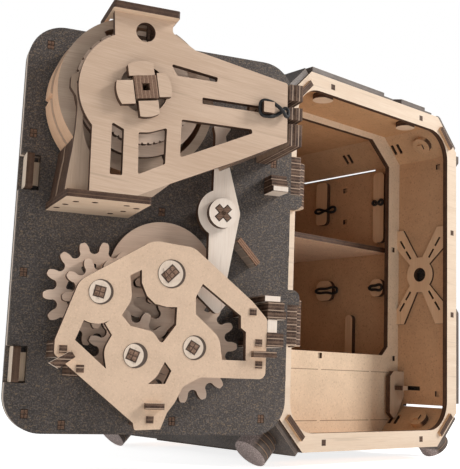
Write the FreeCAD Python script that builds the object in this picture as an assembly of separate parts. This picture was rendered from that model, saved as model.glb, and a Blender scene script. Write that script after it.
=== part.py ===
import FreeCAD, Part
import math
import os

# A wooden mechanical safe built from laser-cut sheet, shown with its door swung fully open.
# The body is drawn with Y = 0 on the front face and Z = 0 on the lower edge of its octagon.
# The door is drawn closed, from its hinge line, and is hung open by hang().

# Sheet stock and small hardware
SHEET = 3.0
PIN_RADIUS = 1.5
PEG = 3.0

# Octagonal body
WIDTH = 144.0
HEIGHT = 190.0
CHAMFER = 18.2
DEPTH = 150.0
FRAME_EDGE = 8.9
OPENING_LOW = 9.0
OPENING_HIGH = 181.2
OPENING_RADIUS = 16.0
WALL_X = 66.9
CEILING_Z = 184.2
FLOOR_Z = 5.9
CORNER_SUM = 236.2
PARTITION_Y = 38.5
SHELF_Z = 113.8
SHELF_FRONT = 46.5

# Dark outer covers
COVER_GAP = 0.4
SIDE_COVER_LOW = 23.5
BOTTOM_COVER_FRONT = 28.0

# Feet
FOOT_RADIUS = 8.5
FOOT_SHEETS = 3
FOOT_FROM_END = 16.0
FOOT_STAND = 5.5

# Door and its swing
HINGE_X = -69.3
HINGE_Y = -6.0
HINGE_S = 0.75
DOOR_INNER_Y = 8.72
OPEN_ANGLE = 200.3
DOOR_NEAR = 9.9
DOOR_FAR = 132.2
DOOR_LOW = 9.8
DOOR_HIGH = 180.4
DOOR_RADIUS = 15.2

# Hinges
KNUCKLE_RADIUS = 4.2
LEAVES_PER_HINGE = 6
LEAF_HEIGHT = LEAVES_PER_HINGE * SHEET
UPPER_HINGE_Z = 119.2
LOWER_HINGE_Z = 50.0
BRACKET_GAP = 0.4
BRACKET_HEIGHT = SHEET

# Bolts
BOLT_BAR_THICK = 2.5
BOLT_BAR_LEVEL = -5.6
BOLT_PLATE_S = 127.6
UPPER_BOLT = (108.8, 123.2)
LOWER_BOLT = (30.0, 44.2)
BOLT_RACK_RADIUS = 7.0
BOLT_TEETH = 10

# Gear train, all on the door
MODULE = 2.75
DRIVE_TEETH = 8
SIDE_TEETH = 14
IDLER_TEETH = 15
SMALL_SIDE_TEETH = 9
BOLT_GEAR_TEETH = 12
DRIVE_AXIS = (71.2, 75.9)
GEAR_PLATE_LEVEL = 17.0
LOCK_DISC_RADIUS = 23.4

# Combination lock
DIAL_AXIS = (91.2, 146.7)
DIAL_TURN = -10.0
DIAL_SHAFT_SIDE = 9.2
FRONT_WHEEL_RADIUS = 32.4
REAR_WHEEL_RADIUS = 33.2
CODE_SHEETS = 4
REAR_WHEEL_LEVEL = 2.7
FRONT_WHEEL_LEVEL = 14.85
DRIVE_DISC_LEVEL = 27.0
DRIVE_DISC_RADIUS = 26.2
FINE_DISC_RADIUS = 21.5
CASE_LEVEL = 33.0
CASE_TOP = 176.9

# Lever
LEVER_AXIS = (47.7, 104.3)
LEVER_LEVEL = 10.4

Vec = FreeCAD.Vector
X = Vec(1, 0, 0)
Y = Vec(0, 1, 0)
Z = Vec(0, 0, 1)


class Plane:
    """A drawing plane: u and v lie in it, and n is the way a sheet gets its thickness."""

    def __init__(self, origin, u, v, n):
        self.origin = origin
        self.u = u
        self.v = v
        self.n = n

    def point(self, u, v, level=0.0):
        return self.origin + self.u * u + self.v * v + self.n * level


FRONT = Plane(Vec(0, 0, 0), X, Z, Y)
SIDE = Plane(Vec(0, 0, 0), Y, Z, X)
FLAT = Plane(Vec(0, 0, 0), X, Y, Z)


def rounded_outline(plane, corners, level):
    """A closed wire through (u, v) corners, where a third number is the corner's radius."""
    places = [plane.point(c[0], c[1], level) for c in corners]
    spans = []
    for i, corner in enumerate(corners):
        here = places[i]
        radius = corner[2] if len(corner) > 2 else 0.0
        if radius == 0:
            spans.append((here, None, here))
            continue
        back = (places[i - 1] - here).normalize()
        ahead = (places[(i + 1) % len(corners)] - here).normalize()
        half = back.getAngle(ahead) / 2
        reach = radius / math.tan(half)
        inward = (back + ahead).normalize()
        middle = here + inward * (radius / math.sin(half) - radius)
        spans.append((here + back * reach, middle, here + ahead * reach))
    edges = []
    for i, (start, middle, end) in enumerate(spans):
        if middle is not None:
            edges.append(Part.Arc(start, middle, end).toShape())
        following = spans[(i + 1) % len(spans)][0]
        if (following - end).Length > 1e-6:
            edges.append(Part.LineSegment(end, following).toShape())
    return Part.Wire(edges)


def prism(plane, level, thick, shape):
    """A straight-sided solid. A tuple (u, v, radius) is a round one, and a list is corners."""
    if isinstance(shape, Part.Wire):
        wire = shape
    elif isinstance(shape, tuple):
        centre = plane.point(shape[0], shape[1], level)
        wire = Part.Wire(Part.Circle(centre, plane.n, shape[2]).toShape())
    else:
        wire = rounded_outline(plane, shape, level)
    solid = Part.Face(wire).extrude(plane.n * thick)
    if solid.Volume < 0:
        solid.reverse()
    return solid


def sheet(plane, level, shape, holes=(), thick=SHEET):
    """A cut sheet with through holes."""
    solid = prism(plane, level, thick, shape)
    for hole in holes:
        solid = solid.cut(prism(plane, level - 1, thick + 2, hole))
    return solid


def rect(u0, u1, v0, v1, radius=0.0):
    """The corners of an upright rectangle."""
    return [(u0, v0, radius), (u1, v0, radius), (u1, v1, radius), (u0, v1, radius)]


def square(u, v, side, turn=0.0):
    """The corners of a square turned by an angle in degrees."""
    reach = side / math.sqrt(2)
    angles = [math.radians(turn + 45 + 90 * i) for i in range(4)]
    return [(u + reach * math.cos(a), v + reach * math.sin(a)) for a in angles]


def fuse(solids):
    """One piece out of overlapping solids."""
    return solids[0].fuse(list(solids[1:])).removeSplitter()


def save(name, shape):
    """Moves a piece to the part's origin, between the feet on the floor, and writes it."""
    solids = shape if isinstance(shape, list) else [shape]
    moved = []
    for solid in solids:
        copy = solid.copy()
        copy.translate(Vec(0, -DEPTH / 2, FOOT_DROP))
        moved.extend(copy.Solids)
    whole = moved[0] if len(moved) == 1 else Part.makeCompound(moved)
    whole.exportStep(f"parts/{name}.step")


# The octagon and its walls

HALF = WIDTH / 2
WALL_OUT = WALL_X + SHEET
CEILING_OUT = CEILING_Z + SHEET
FLOOR_OUT = FLOOR_Z - SHEET
WALL_TOP = CORNER_SUM - WALL_X
WALL_BOTTOM = HEIGHT - WALL_TOP
CEILING_HALF = CORNER_SUM - CEILING_Z
ROOT2 = math.sqrt(2)
FOOT_TILT = 1 / ROOT2
CHAMFER_X = HALF - CHAMFER / 2
CHAMFER_Z = CHAMFER / 2
FOOT_REACH = FOOT_STAND + FOOT_SHEETS * SHEET
FOOT_DROP = (FOOT_REACH + FOOT_RADIUS) * FOOT_TILT - CHAMFER_Z


def octagon(inset):
    """The body's octagon drawn in by an inset all round."""
    half = HALF - inset
    low = inset
    high = HEIGHT - inset
    cut = CHAMFER - inset * (2 - ROOT2)
    right = [(half - cut, low), (half, low + cut), (half, high - cut), (half - cut, high)]
    left = [(-u, v) for u, v in reversed(right)]
    return right + left


def corner_plane(side, upper, distance):
    """A plane along one chamfer: u is depth, v runs up the chamfer, n points outwards."""
    rise = 1 if upper else -1
    outward = Vec(side * FOOT_TILT, 0, rise * FOOT_TILT)
    along = Vec(-side * FOOT_TILT, 0, rise * FOOT_TILT)
    z = HEIGHT - CHAMFER_Z if upper else CHAMFER_Z
    origin = Vec(side * CHAMFER_X, 0, z) + outward * distance
    return Plane(origin, Y, along, outward)


CORNERS = [(side, upper) for upper in (True, False) for side in (-1, 1)]
CORNER_INSET = (WIDTH / 2 + HEIGHT - CHAMFER - CORNER_SUM) / ROOT2
CORNER_X = CHAMFER_X - CORNER_INSET / ROOT2
CORNER_TOP = (CORNER_X - CEILING_HALF) * ROOT2
CORNER_BOTTOM = (CORNER_X - WALL_X) * ROOT2

LEFT_PEGS = [(-67.9, 95.0), (-67.9, 35.0)]
RIGHT_PEGS = [(67.9, 122.6), (67.9, 74.4)]
CEILING_PEGS = [(-37.5, 185.7), (37.5, 185.7)]
FLOOR_PEGS = [(-39.0, 4.4), (39.0, 4.4)]
FRAME_PEGS = LEFT_PEGS + RIGHT_PEGS + CEILING_PEGS + FLOOR_PEGS
TAB_HALF = 7.4
TAB_PROUD = 1.7


def corner_tab(side, upper, start, length):
    """A tab of a corner panel that passes through an end plate."""
    plane = corner_plane(side, upper, -CORNER_INSET)
    return prism(plane, 0, SHEET, rect(start, start + length, -TAB_HALF, TAB_HALF))


def wall_peg(u, v, start, length):
    """One square peg along the depth of the body."""
    return prism(FRONT, start, length, square(u, v, PEG))


def bracket_slots():
    """Slots in the front plate for the two fixed hinge brackets."""
    slots = []
    for low in (UPPER_BRACKET_Z, LOWER_BRACKET_Z):
        slots.append(rect(HINGE_X - 1.0, HINGE_X + 3.2, low, low + BRACKET_HEIGHT))
    return slots


UPPER_BRACKET_Z = UPPER_HINGE_Z - BRACKET_GAP - BRACKET_HEIGHT
LOWER_BRACKET_Z = LOWER_HINGE_Z + LEAF_HEIGHT + BRACKET_GAP


def front_frame():
    opening = rect(-HALF + FRAME_EDGE, HALF - FRAME_EDGE, OPENING_LOW, OPENING_HIGH, OPENING_RADIUS)
    frame = sheet(FRONT, 0, octagon(0), [opening] + bracket_slots())
    for u, v in FRAME_PEGS:
        frame = frame.cut(wall_peg(u, v, -1, SHEET + 2))
    for side, upper in CORNERS:
        frame = frame.cut(corner_tab(side, upper, -1, SHEET + 2))
    return frame


def back_panel():
    back = sheet(FRONT, DEPTH - SHEET, octagon(0))
    for u, v in FRAME_PEGS:
        back = back.cut(wall_peg(u, v, DEPTH - SHEET - 1, SHEET + 2))
    for side, upper in CORNERS:
        back = back.cut(corner_tab(side, upper, DEPTH - SHEET - 1, SHEET + 2))
    return back


PARTITION_OPENING = [
    (-51.9, 50.2), (51.9, 50.2), (57.0, 55.4), (56.7, 166.0), (40.5, 180.5),
    (-40.5, 180.5), (-56.7, 166.0), (-57.0, 55.4),
]
PARTITION_PEGS = [(-2.0, 48.0), (62.3, 48.7), (61.2, 114.8), (-62.3, 48.7), (-61.2, 114.8)]


def inner_octagon():
    """The space between the walls, as an outline."""
    right = [(CEILING_HALF, FLOOR_Z), (WALL_X, WALL_BOTTOM), (WALL_X, WALL_TOP), (CEILING_HALF, CEILING_Z)]
    return right + [(-u, v) for u, v in reversed(right)]


def partition_panel():
    panel = sheet(FRONT, PARTITION_Y, inner_octagon(), [PARTITION_OPENING])
    for u, v in PARTITION_PEGS:
        panel = panel.cut(prism(FRONT, PARTITION_Y - 1, 1 + SHEET / 2, square(u, v, PEG)))
    return panel


INNER_FROM = SHEET
INNER_TO = DEPTH - SHEET
SLIT = 1.3


def wall_outline():
    """A side wall in depth and height, with the long narrow slits beside the corner panels."""
    return [
        (INNER_FROM, WALL_BOTTOM), (6, WALL_BOTTOM), (6, WALL_BOTTOM + SLIT), (34, WALL_BOTTOM + SLIT),
        (34, WALL_BOTTOM), (INNER_TO, WALL_BOTTOM), (INNER_TO, WALL_TOP), (123, WALL_TOP),
        (123, WALL_TOP - SLIT), (58, WALL_TOP - SLIT), (58, WALL_TOP), (INNER_FROM, WALL_TOP),
    ]


def with_pegs(wall, places):
    """Adds the square pegs that reach through the front and back plates."""
    pieces = [wall]
    for u, v in places:
        pieces.append(wall_peg(u, v, 0, INNER_FROM + 3))
        pieces.append(wall_peg(u, v, INNER_TO - 3, SHEET + 3))
    return fuse(pieces)


BRACE_CENTRE = (21.5, 98.9)
BRACE_PROUD = 1.5


def brace_outline():
    """An X with a round middle, reaching from the front plate to the partition."""
    y0 = INNER_FROM
    y1 = PARTITION_Y
    z = BRACE_CENTRE[1]
    return [
        (y0, z + 16.5), (BRACE_CENTRE[0] - 7.0, z + 6.0), (BRACE_CENTRE[0] - 7.0, z - 6.0), (y0, z - 18.5),
        (y0, z - 29.5), (10.0, z - 29.5), (BRACE_CENTRE[0] - 2.0, z - 10.5),
        (BRACE_CENTRE[0] + 2.0, z - 10.5), (33.0, z - 29.5), (y1, z - 29.5), (y1, z - 20.5),
        (BRACE_CENTRE[0] + 7.0, z - 6.0), (BRACE_CENTRE[0] + 7.0, z + 6.0), (y1, z + 16.5),
        (y1, z + 28.0), (34.0, z + 28.0), (BRACE_CENTRE[0] + 2.0, z + 10.5),
        (BRACE_CENTRE[0] - 2.0, z + 10.5), (9.0, z + 28.0), (y0, z + 28.0),
    ]


def brace_slots():
    """Two narrow slots along each arm of the brace."""
    slots = []
    for rise, run in ((1, 1), (1, -1), (-1, 1), (-1, -1)):
        arm = Vec(run * 0.56, 0, rise * 0.83)
        for start in (12.0, 20.0):
            a = (BRACE_CENTRE[0] + arm.x * start, BRACE_CENTRE[1] + arm.z * start)
            b = (BRACE_CENTRE[0] + arm.x * (start + 6.0), BRACE_CENTRE[1] + arm.z * (start + 6.0))
            across = (arm.z * 0.6, -arm.x * 0.6)
            slots.append([
                (a[0] + across[0], a[1] + across[1]), (b[0] + across[0], b[1] + across[1]),
                (b[0] - across[0], b[1] - across[1]), (a[0] - across[0], a[1] - across[1]),
            ])
    return slots


def wall_brace():
    """The X brace, let into the right wall so that it stands a little proud of it."""
    level = WALL_X - BRACE_PROUD
    ring = prism(SIDE, level, SHEET, (BRACE_CENTRE[0], BRACE_CENTRE[1], 9.4))
    brace = fuse([prism(SIDE, level, SHEET, brace_outline()), ring])
    for hole in [(BRACE_CENTRE[0], BRACE_CENTRE[1], 4.2)] + brace_slots():
        brace = brace.cut(prism(SIDE, level - 1, SHEET + 2, hole))
    return brace


WALL_MARKS = [(9.4, 163.7), (9.7, 28.7), (83.8, 158.7), (83.3, 137.7)]


def right_wall():
    window = [prism(SIDE, WALL_X - 1, SHEET + 2, brace_outline())]
    window.append(prism(SIDE, WALL_X - 1, SHEET + 2, (BRACE_CENTRE[0], BRACE_CENTRE[1], 9.4)))
    wall = with_pegs(prism(SIDE, WALL_X, SHEET, wall_outline()), RIGHT_PEGS)
    wall = wall.cut(window)
    wall = wall.cut(prism(SIDE, WALL_X - 1, SHEET + 2, rect(22, 36, 30.2, 32.6)))
    for y, z in WALL_MARKS:
        wall = wall.cut(prism(SIDE, WALL_X - 1, 2.5, square(y, z, PEG)))
    return wall


def left_wall():
    wall = prism(SIDE, -WALL_OUT, SHEET, wall_outline())
    return with_pegs(wall, LEFT_PEGS)


def ceiling_panel():
    panel = prism(FLAT, CEILING_Z, SHEET, rect(-CEILING_HALF, CEILING_HALF, INNER_FROM, INNER_TO))
    return with_pegs(panel, CEILING_PEGS)


def floor_panel():
    panel = prism(FLAT, FLOOR_OUT, SHEET, rect(-CEILING_HALF, CEILING_HALF, INNER_FROM, INNER_TO))
    return with_pegs(panel, FLOOR_PEGS)


CAP_RADIUS = 5.4
CAP_BOSS = 2.6
CROSS = 2.2


def corner_pin_places(upper):
    """Depths of the round caps on a corner panel; the lower ones sit over the feet."""
    return (14.6, DEPTH - 14.6) if upper else (FOOT_FROM_END, DEPTH - FOOT_FROM_END)


def corner_panel(side, upper):
    plane = corner_plane(side, upper, -CORNER_INSET)
    outline = rect(INNER_FROM, INNER_TO, CORNER_BOTTOM, CORNER_TOP)
    slots = []
    for start in (31.5, 35.7, 71.5, 75.4):
        slots.append(rect(start, start + 2.0, -3.5, 3.5))
    for y in corner_pin_places(upper):
        slots.append(square(y, 0, 3.2))
    panel = sheet(plane, 0, outline, slots)
    tabs = [corner_tab(side, upper, -TAB_PROUD, 6 + TAB_PROUD), corner_tab(side, upper, INNER_TO - 3, 6)]
    return fuse([panel] + tabs)


def corner_caps():
    """Round caps on the corner panels, each on a crossed pin that ends under the dark cover."""
    pieces = []
    for side, upper in CORNERS:
        plane = corner_plane(side, upper, -CORNER_INSET)
        for y in corner_pin_places(upper):
            cap = sheet(plane, -SHEET, (y, 0, CAP_RADIUS), [square(y, 0, 3.2)])
            pin = prism(plane, -SHEET - 1, SHEET + 1 + CORNER_INSET, square(y, 0, 3.2))
            pieces.extend([cap, pin])
    return pieces


LUG_RADIUS = 5.4


def ceiling_lugs():
    """Half-round lugs that hang flat under the ceiling behind the front plate."""
    lugs = []
    low = CEILING_Z - SHEET
    for centre in (-35.0, 35.0):
        disc = prism(FLAT, low, SHEET, (centre, 9.5, LUG_RADIUS))
        behind = rect(centre - LUG_RADIUS, centre + LUG_RADIUS, 5, 20)
        lugs.append(disc.common(prism(FLAT, low, SHEET, behind)))
    return lugs


# Outer covers


def side_cover(side):
    """A dark side cover, with a front edge that steps forward near the corners."""
    low = SIDE_COVER_LOW
    edge = [
        (0.4, low), (DEPTH - 0.4, low), (DEPTH - 0.4, 170.0), (0.4, 170.0), (0.4, 166.0, 1.5),
        (4.0, 162.0, 1.5), (4.0, 82.0, 1.5), (0.4, 76.0, 1.5),
    ]
    level = HALF if side > 0 else -HALF - SHEET
    cover = prism(SIDE, level, SHEET, edge)
    if side < 0:
        for start in (UPPER_BRACKET_Z - 1.5, LOWER_HINGE_Z - 1.5):
            end = start + LEAF_HEIGHT + BRACKET_HEIGHT + 3.4
            cover = cover.cut(prism(SIDE, level - 1, SHEET + 2, rect(-1, 4.0, start, end)))
    return cover


def top_cover():
    edge = [
        (-52.8, 0.4), (4.6, 0.4, 1.0), (8.0, 4.0, 1.0), (17.0, 4.0, 1.0), (20.0, 0.4, 1.0), (41.6, 0.4, 1.0),
        (45.0, 4.0, 1.0), (52.8, 4.0), (52.8, DEPTH - 0.4), (-52.8, DEPTH - 0.4),
    ]
    return prism(FLAT, HEIGHT, SHEET, edge)


def bottom_cover():
    edge = rect(-52.8, 52.8, BOTTOM_COVER_FRONT, DEPTH - BOTTOM_COVER_FRONT, 6.0)
    return prism(FLAT, -SHEET, SHEET, edge)


def corner_cover(side, upper):
    """A dark strip over a chamfer."""
    plane = corner_plane(side, upper, 0)
    half = CHAMFER / ROOT2 - COVER_GAP
    edge = [
        (1.2, -half, 2.0), (DEPTH - 1.2, -half, 2.0), (DEPTH - 1.2, half, 2.0), (1.2, half, 2.0),
    ]
    return prism(plane, 0, SHEET, edge)


def spacer_rails():
    """Strips under the dark covers, half way back, that carry them off the walls."""
    rails = []
    y0 = DEPTH / 2 - 4
    y1 = DEPTH / 2 + 4
    for side in (-1, 1):
        level = WALL_OUT if side > 0 else -HALF
        rails.append(prism(SIDE, level, HALF - WALL_OUT, rect(y0, y1, 40, 150)))
    rails.append(prism(FLAT, CEILING_OUT, HEIGHT - CEILING_OUT, rect(-40, 40, y0, y1)))
    rails.append(prism(FLAT, 0, FLOOR_OUT, rect(-40, 40, y0, y1)))
    return rails


def foot(side, y):
    """A stack of discs on a stem, square to the lower chamfer."""
    plane = corner_plane(side, False, 0)
    discs = []
    for i in range(FOOT_SHEETS):
        discs.append(prism(plane, FOOT_STAND + i * SHEET, SHEET, (y, 0, FOOT_RADIUS)))
    stem = prism(plane, SHEET, FOOT_STAND - SHEET, (y, 0, FOOT_RADIUS - 1.2))
    return [stem] + discs


# Shelf and fittings inside


def shelf():
    return prism(FLAT, SHELF_Z, SHEET, rect(-WALL_X, WALL_X, SHELF_FRONT, INNER_TO))


def stop_plate():
    """A plate across the right wall, just in front of the partition, with a flat peg."""
    y = PARTITION_Y - SHEET - 1.7
    slot = rect(58.2, 63.0, 30.0, 32.6)
    outline = [
        (WALL_X, 26.5), (WALL_X, 41.0), (57.0, 41.0), (54.0, 38.0), (54.0, 16.5), (57.5, 13.5), (60.2, 14.6),
    ]
    plate = sheet(FRONT, y, outline, [slot])
    peg = prism(FRONT, y - 6, PARTITION_Y - y + 6, slot)
    return [plate, peg]


def band_hooks():
    """Flat fittings on the right wall of the back compartment: two rails and two round tabs."""
    level = WALL_X - SHEET
    pieces = []
    for y0, y1, low, high in ((97.0, 107.0, 137.0, 166.0), (48.5, 57.0, 121.0, 166.0)):
        pieces.append(prism(SIDE, level, SHEET, rect(y0, y1, low, high, 3.0)))
    for y0, y1, low, high in ((91.0, 105.0, 86.0, 99.0), (48.5, 59.0, 87.0, 98.0)):
        pieces.append(prism(SIDE, level, SHEET, rect(y0, y1, low, high, 4.5)))
    pieces.append(prism(SIDE, level, SHEET, rect(73.0, 79.0, 30.0, 76.0, 2.9)))
    return pieces


def elastic_bands():
    """Black elastic bands stretched over the fittings of the back compartment."""
    level = WALL_X - SHEET - 1.4
    pieces = []
    for y0, y1, z in ((88.0, 107.6, 146.5), (48.0, 57.6, 146.5), (85.0, 105.6, 92.5), (48.0, 59.6, 92.5)):
        pieces.append(sheet(SIDE, level, rect(y0, y1, z - 2.2, z + 2.2, 2.0), thick=1.4))
    return pieces


# Hinges: fixed brackets on the front plate, leaves on the door, and one pin each


def hinge_bracket():
    """One plate at each hinge, tenoned through the front plate."""
    plates = []
    base = Plane(Vec(HINGE_X, HINGE_Y, 0), X, Y, Z)
    arm_edge = [(-2.6, 0), (-2.6, 6.0), (5.0, 6.0), (5.0, 2.0, 1.0), (KNUCKLE_RADIUS, 0)]
    for z in (UPPER_BRACKET_Z, LOWER_BRACKET_Z):
        knuckle = prism(base, z, BRACKET_HEIGHT, (0, 0, KNUCKLE_RADIUS))
        arm = prism(base, z, BRACKET_HEIGHT, arm_edge)
        tenon = prism(base, z, BRACKET_HEIGHT, rect(-1.0, 3.2, 6.0, 9.0))
        plate = fuse([knuckle, arm, tenon])
        plates.append(plate.cut(prism(base, z - 1, BRACKET_HEIGHT + 2, (0, 0, PIN_RADIUS))))
    return plates


def hinge_pins():
    pins = []
    centre = Vec(HINGE_X, HINGE_Y, 0)
    spans = (
        (UPPER_BRACKET_Z - 0.6, UPPER_HINGE_Z + LEAF_HEIGHT + 0.6),
        (LOWER_HINGE_Z - 0.6, LOWER_BRACKET_Z + BRACKET_HEIGHT + 0.6),
    )
    for low, high in spans:
        pins.append(Part.makeCylinder(PIN_RADIUS, high - low, centre + Z * low, Z))
    return pins


# Door. Here u is the distance s across the door, v is height, and the level is the height h
# above the door's inner face. The hinge line itself is at s = HINGE_S and h = HINGE_LEVEL.

DOOR = Plane(Vec(0, 0, 0), X, Z, Y)
HINGE_LEVEL = HINGE_Y - DOOR_INNER_Y
OUTER_LEVEL = -3 * SHEET
CORE_LEVEL = -2 * SHEET
INNER_LEVEL = -SHEET


def hang(shape):
    """Turns closed door pieces about the hinge line to the open position."""
    solids = shape if isinstance(shape, list) else [shape]
    moved = []
    for solid in solids:
        copy = solid.copy()
        copy.translate(Vec(-HINGE_S, -HINGE_LEVEL, 0))
        copy.rotate(Vec(0, 0, 0), Z, -OPEN_ANGLE)
        copy.translate(Vec(HINGE_X, HINGE_Y, 0))
        moved.append(copy)
    return moved


def door_outline():
    return rect(DOOR_NEAR, DOOR_FAR, DOOR_LOW, DOOR_HIGH, DOOR_RADIUS)


def polar(axis, radius, angle):
    """A point at a radius and an angle in degrees round an axis on the door."""
    turn = math.radians(angle)
    return (axis[0] + radius * math.cos(turn), axis[1] + radius * math.sin(turn))


def gap_between(a, b):
    """The distance and the angle in degrees from one axis to another."""
    run = b[0] - a[0]
    rise = b[1] - a[1]
    return math.hypot(run, rise), math.degrees(math.atan2(rise, run))


def pitch_radius(teeth, module=MODULE):
    return teeth * module / 2


# Axes of the train: each wheel sits at its meshing distance, in the direction seen on the door

SIDE_DIRECTION = -17.8
IDLER_DIRECTION = -110.6
BOLT_GEAR_DIRECTION = -122.0
SIDE_AXIS = polar(DRIVE_AXIS, pitch_radius(DRIVE_TEETH + SIDE_TEETH), SIDE_DIRECTION)
IDLER_AXIS = polar(DRIVE_AXIS, pitch_radius(DRIVE_TEETH + IDLER_TEETH), IDLER_DIRECTION)
BOLT_AXIS = polar(SIDE_AXIS, pitch_radius(SMALL_SIDE_TEETH + BOLT_GEAR_TEETH), BOLT_GEAR_DIRECTION)
PRESSURE = math.radians(20)
ADDENDUM = 0.72
DEDENDUM = 1.12
VALLEY = 0.46
TIP_CORNER = 0.14
TIP_FLAT = 0.62
BACKLASH = 0.5
LOW_WHEELS = 6.6
HIGH_WHEELS = 10.4


def tooth_half_angle(teeth, module, radius):
    """Half the angle that an involute tooth fills at a radius."""
    pitch = pitch_radius(teeth, module)
    base = pitch * math.cos(PRESSURE)
    lean = math.tan(PRESSURE) - PRESSURE
    if radius > base:
        roll = math.acos(base / radius)
        lean -= math.tan(roll) - roll
    width = math.pi * module / 2 - BACKLASH * module / MODULE
    return width / (2 * pitch) + lean


def gear_wire(axis, teeth, module, level, turn):
    """The outline of a spur wheel with flat-topped teeth and round valleys, one tooth at the angle turn."""
    pitch = pitch_radius(teeth, module)
    root = pitch - DEDENDUM * module
    tip = pitch + ADDENDUM * module
    shoulder = tip - TIP_CORNER * module
    valley_top = root + VALLEY * module
    halfway = (valley_top + shoulder) / 2

    def place(radius, angle):
        u, v = polar(axis, radius, math.degrees(angle))
        return DOOR.point(u, v, level)

    low = tooth_half_angle(teeth, module, valley_top)
    middle = tooth_half_angle(teeth, module, halfway)
    high = tooth_half_angle(teeth, module, shoulder)
    edges = []
    for i in range(teeth):
        centre = math.radians(turn + 360 * i / teeth)
        following = math.radians(turn + 360 * (i + 1) / teeth)
        flank = ((valley_top, low), (halfway, middle), (shoulder, high))
        rising = [place(radius, centre - angle) for radius, angle in flank]
        falling = [place(radius, centre + angle) for radius, angle in reversed(flank)]
        top = [place(tip, centre + high * TIP_FLAT * side) for side in (-1, 0, 1)]
        edges.append(Part.Arc(*rising).toShape())
        edges.append(Part.LineSegment(rising[2], top[0]).toShape())
        edges.append(Part.Arc(*top).toShape())
        edges.append(Part.LineSegment(top[2], falling[0]).toShape())
        edges.append(Part.Arc(*falling).toShape())
        valley = place(root, (centre + following) / 2)
        edges.append(Part.Arc(falling[2], valley, place(valley_top, following - low)).toShape())
    return Part.Wire(edges)


def wheel(axis, teeth, level, turn, bore, windows=0, inner=8.0, outer=12.5):
    """A spur wheel with a square bore and, on large wheels, a ring of windows."""
    body = prism(DOOR, level, SHEET, gear_wire(axis, teeth, MODULE, level, turn))
    body = body.cut(prism(DOOR, level - 1, SHEET + 2, square(axis[0], axis[1], bore, turn)))
    for i in range(windows):
        middle = turn + 360 * (i + 0.5) / windows
        spread = 360 / windows / 2 - 10
        corners = [
            polar(axis, inner, middle - spread) + (0.8,), polar(axis, outer, middle - spread) + (0.8,),
            polar(axis, outer, middle + spread) + (0.8,), polar(axis, inner, middle + spread) + (0.8,),
        ]
        body = body.cut(prism(DOOR, level - 1, SHEET + 2, corners))
    return body


def meshing_turn(axis, teeth, turn, other_axis, other_teeth):
    """The turn of a second wheel whose gap meets the first wheel's tooth."""
    distance, direction = gap_between(axis, other_axis)
    phase = ((direction - turn) * teeth / 360) % 1.0
    return direction + 180 - 360 * (0.5 - phase) / other_teeth


DRIVE_TURN = SIDE_DIRECTION
SIDE_TURN = meshing_turn(DRIVE_AXIS, DRIVE_TEETH, DRIVE_TURN, SIDE_AXIS, SIDE_TEETH)
IDLER_TURN = meshing_turn(DRIVE_AXIS, DRIVE_TEETH, DRIVE_TURN, IDLER_AXIS, IDLER_TEETH)
BOLT_TURN = meshing_turn(SIDE_AXIS, SMALL_SIDE_TEETH, SIDE_TURN, BOLT_AXIS, BOLT_GEAR_TEETH)
SHAFT_SIDE = 4.4
DRIVE_SHAFT_SIDE = 6.0
BUSH_RADIUS = 4.9
DRIVE_BUSH_RADIUS = 5.8
DOWEL_RADIUS = 1.5
FIT = 0.1
SHAFT_TOP = GEAR_PLATE_LEVEL + SHEET + 0.6


def shaft_hole(axis, side):
    """A round hole in which a square shaft turns."""
    return (axis[0], axis[1], side / ROOT2 + FIT)


def door_outer_panel():
    holes = [shaft_hole(DIAL_AXIS, DIAL_SHAFT_SIDE), shaft_hole(DRIVE_AXIS, DRIVE_SHAFT_SIDE)]
    return sheet(DOOR, OUTER_LEVEL, door_outline(), holes)


BOLT_PINION_MODULE = 2 * BOLT_RACK_RADIUS / BOLT_TEETH
RACK_Z = BOLT_AXIS[1] - BOLT_RACK_RADIUS
BOLT_TRAVEL = BOLT_RACK_RADIUS * math.radians(
    90 * DRIVE_TEETH / SIDE_TEETH * SMALL_SIDE_TEETH / BOLT_GEAR_TEETH)
BAR_CLEARANCE = 0.4
SPINE = (112.0, 122.0)
UPPER_BAR = (111.0, 121.0)
LOWER_BAR_LOW = 30.4
RACK_START = 68.0


def bolt_bar_outline(extra=0.0):
    """The C-shaped bar that joins both bolts, or its channel when extra is given."""
    e = extra
    low = LOWER_BAR_LOW - e
    return [
        (RACK_START - e, low), (BOLT_PLATE_S + e, low), (BOLT_PLATE_S + e, 42.0 + e),
        (SPINE[1] + e, 42.0 + e), (SPINE[1] + e, UPPER_BAR[0] - e), (BOLT_PLATE_S + e, UPPER_BAR[0] - e),
        (BOLT_PLATE_S + e, UPPER_BAR[1] + e), (98.0 - e, UPPER_BAR[1] + e), (98.0 - e, UPPER_BAR[0] - e),
        (SPINE[0] - e, UPPER_BAR[0] - e), (SPINE[0] - e, 42.0 + e), (104.0 - e, 42.0 + e),
        (104.0 - e, RACK_Z - 1.6 + e), (RACK_START - e, RACK_Z - 1.6 + e),
    ]


def through_core(shape):
    """A cutter that passes right through the door's middle sheet."""
    return prism(DOOR, CORE_LEVEL - 1, SHEET + 2, shape)


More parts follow.
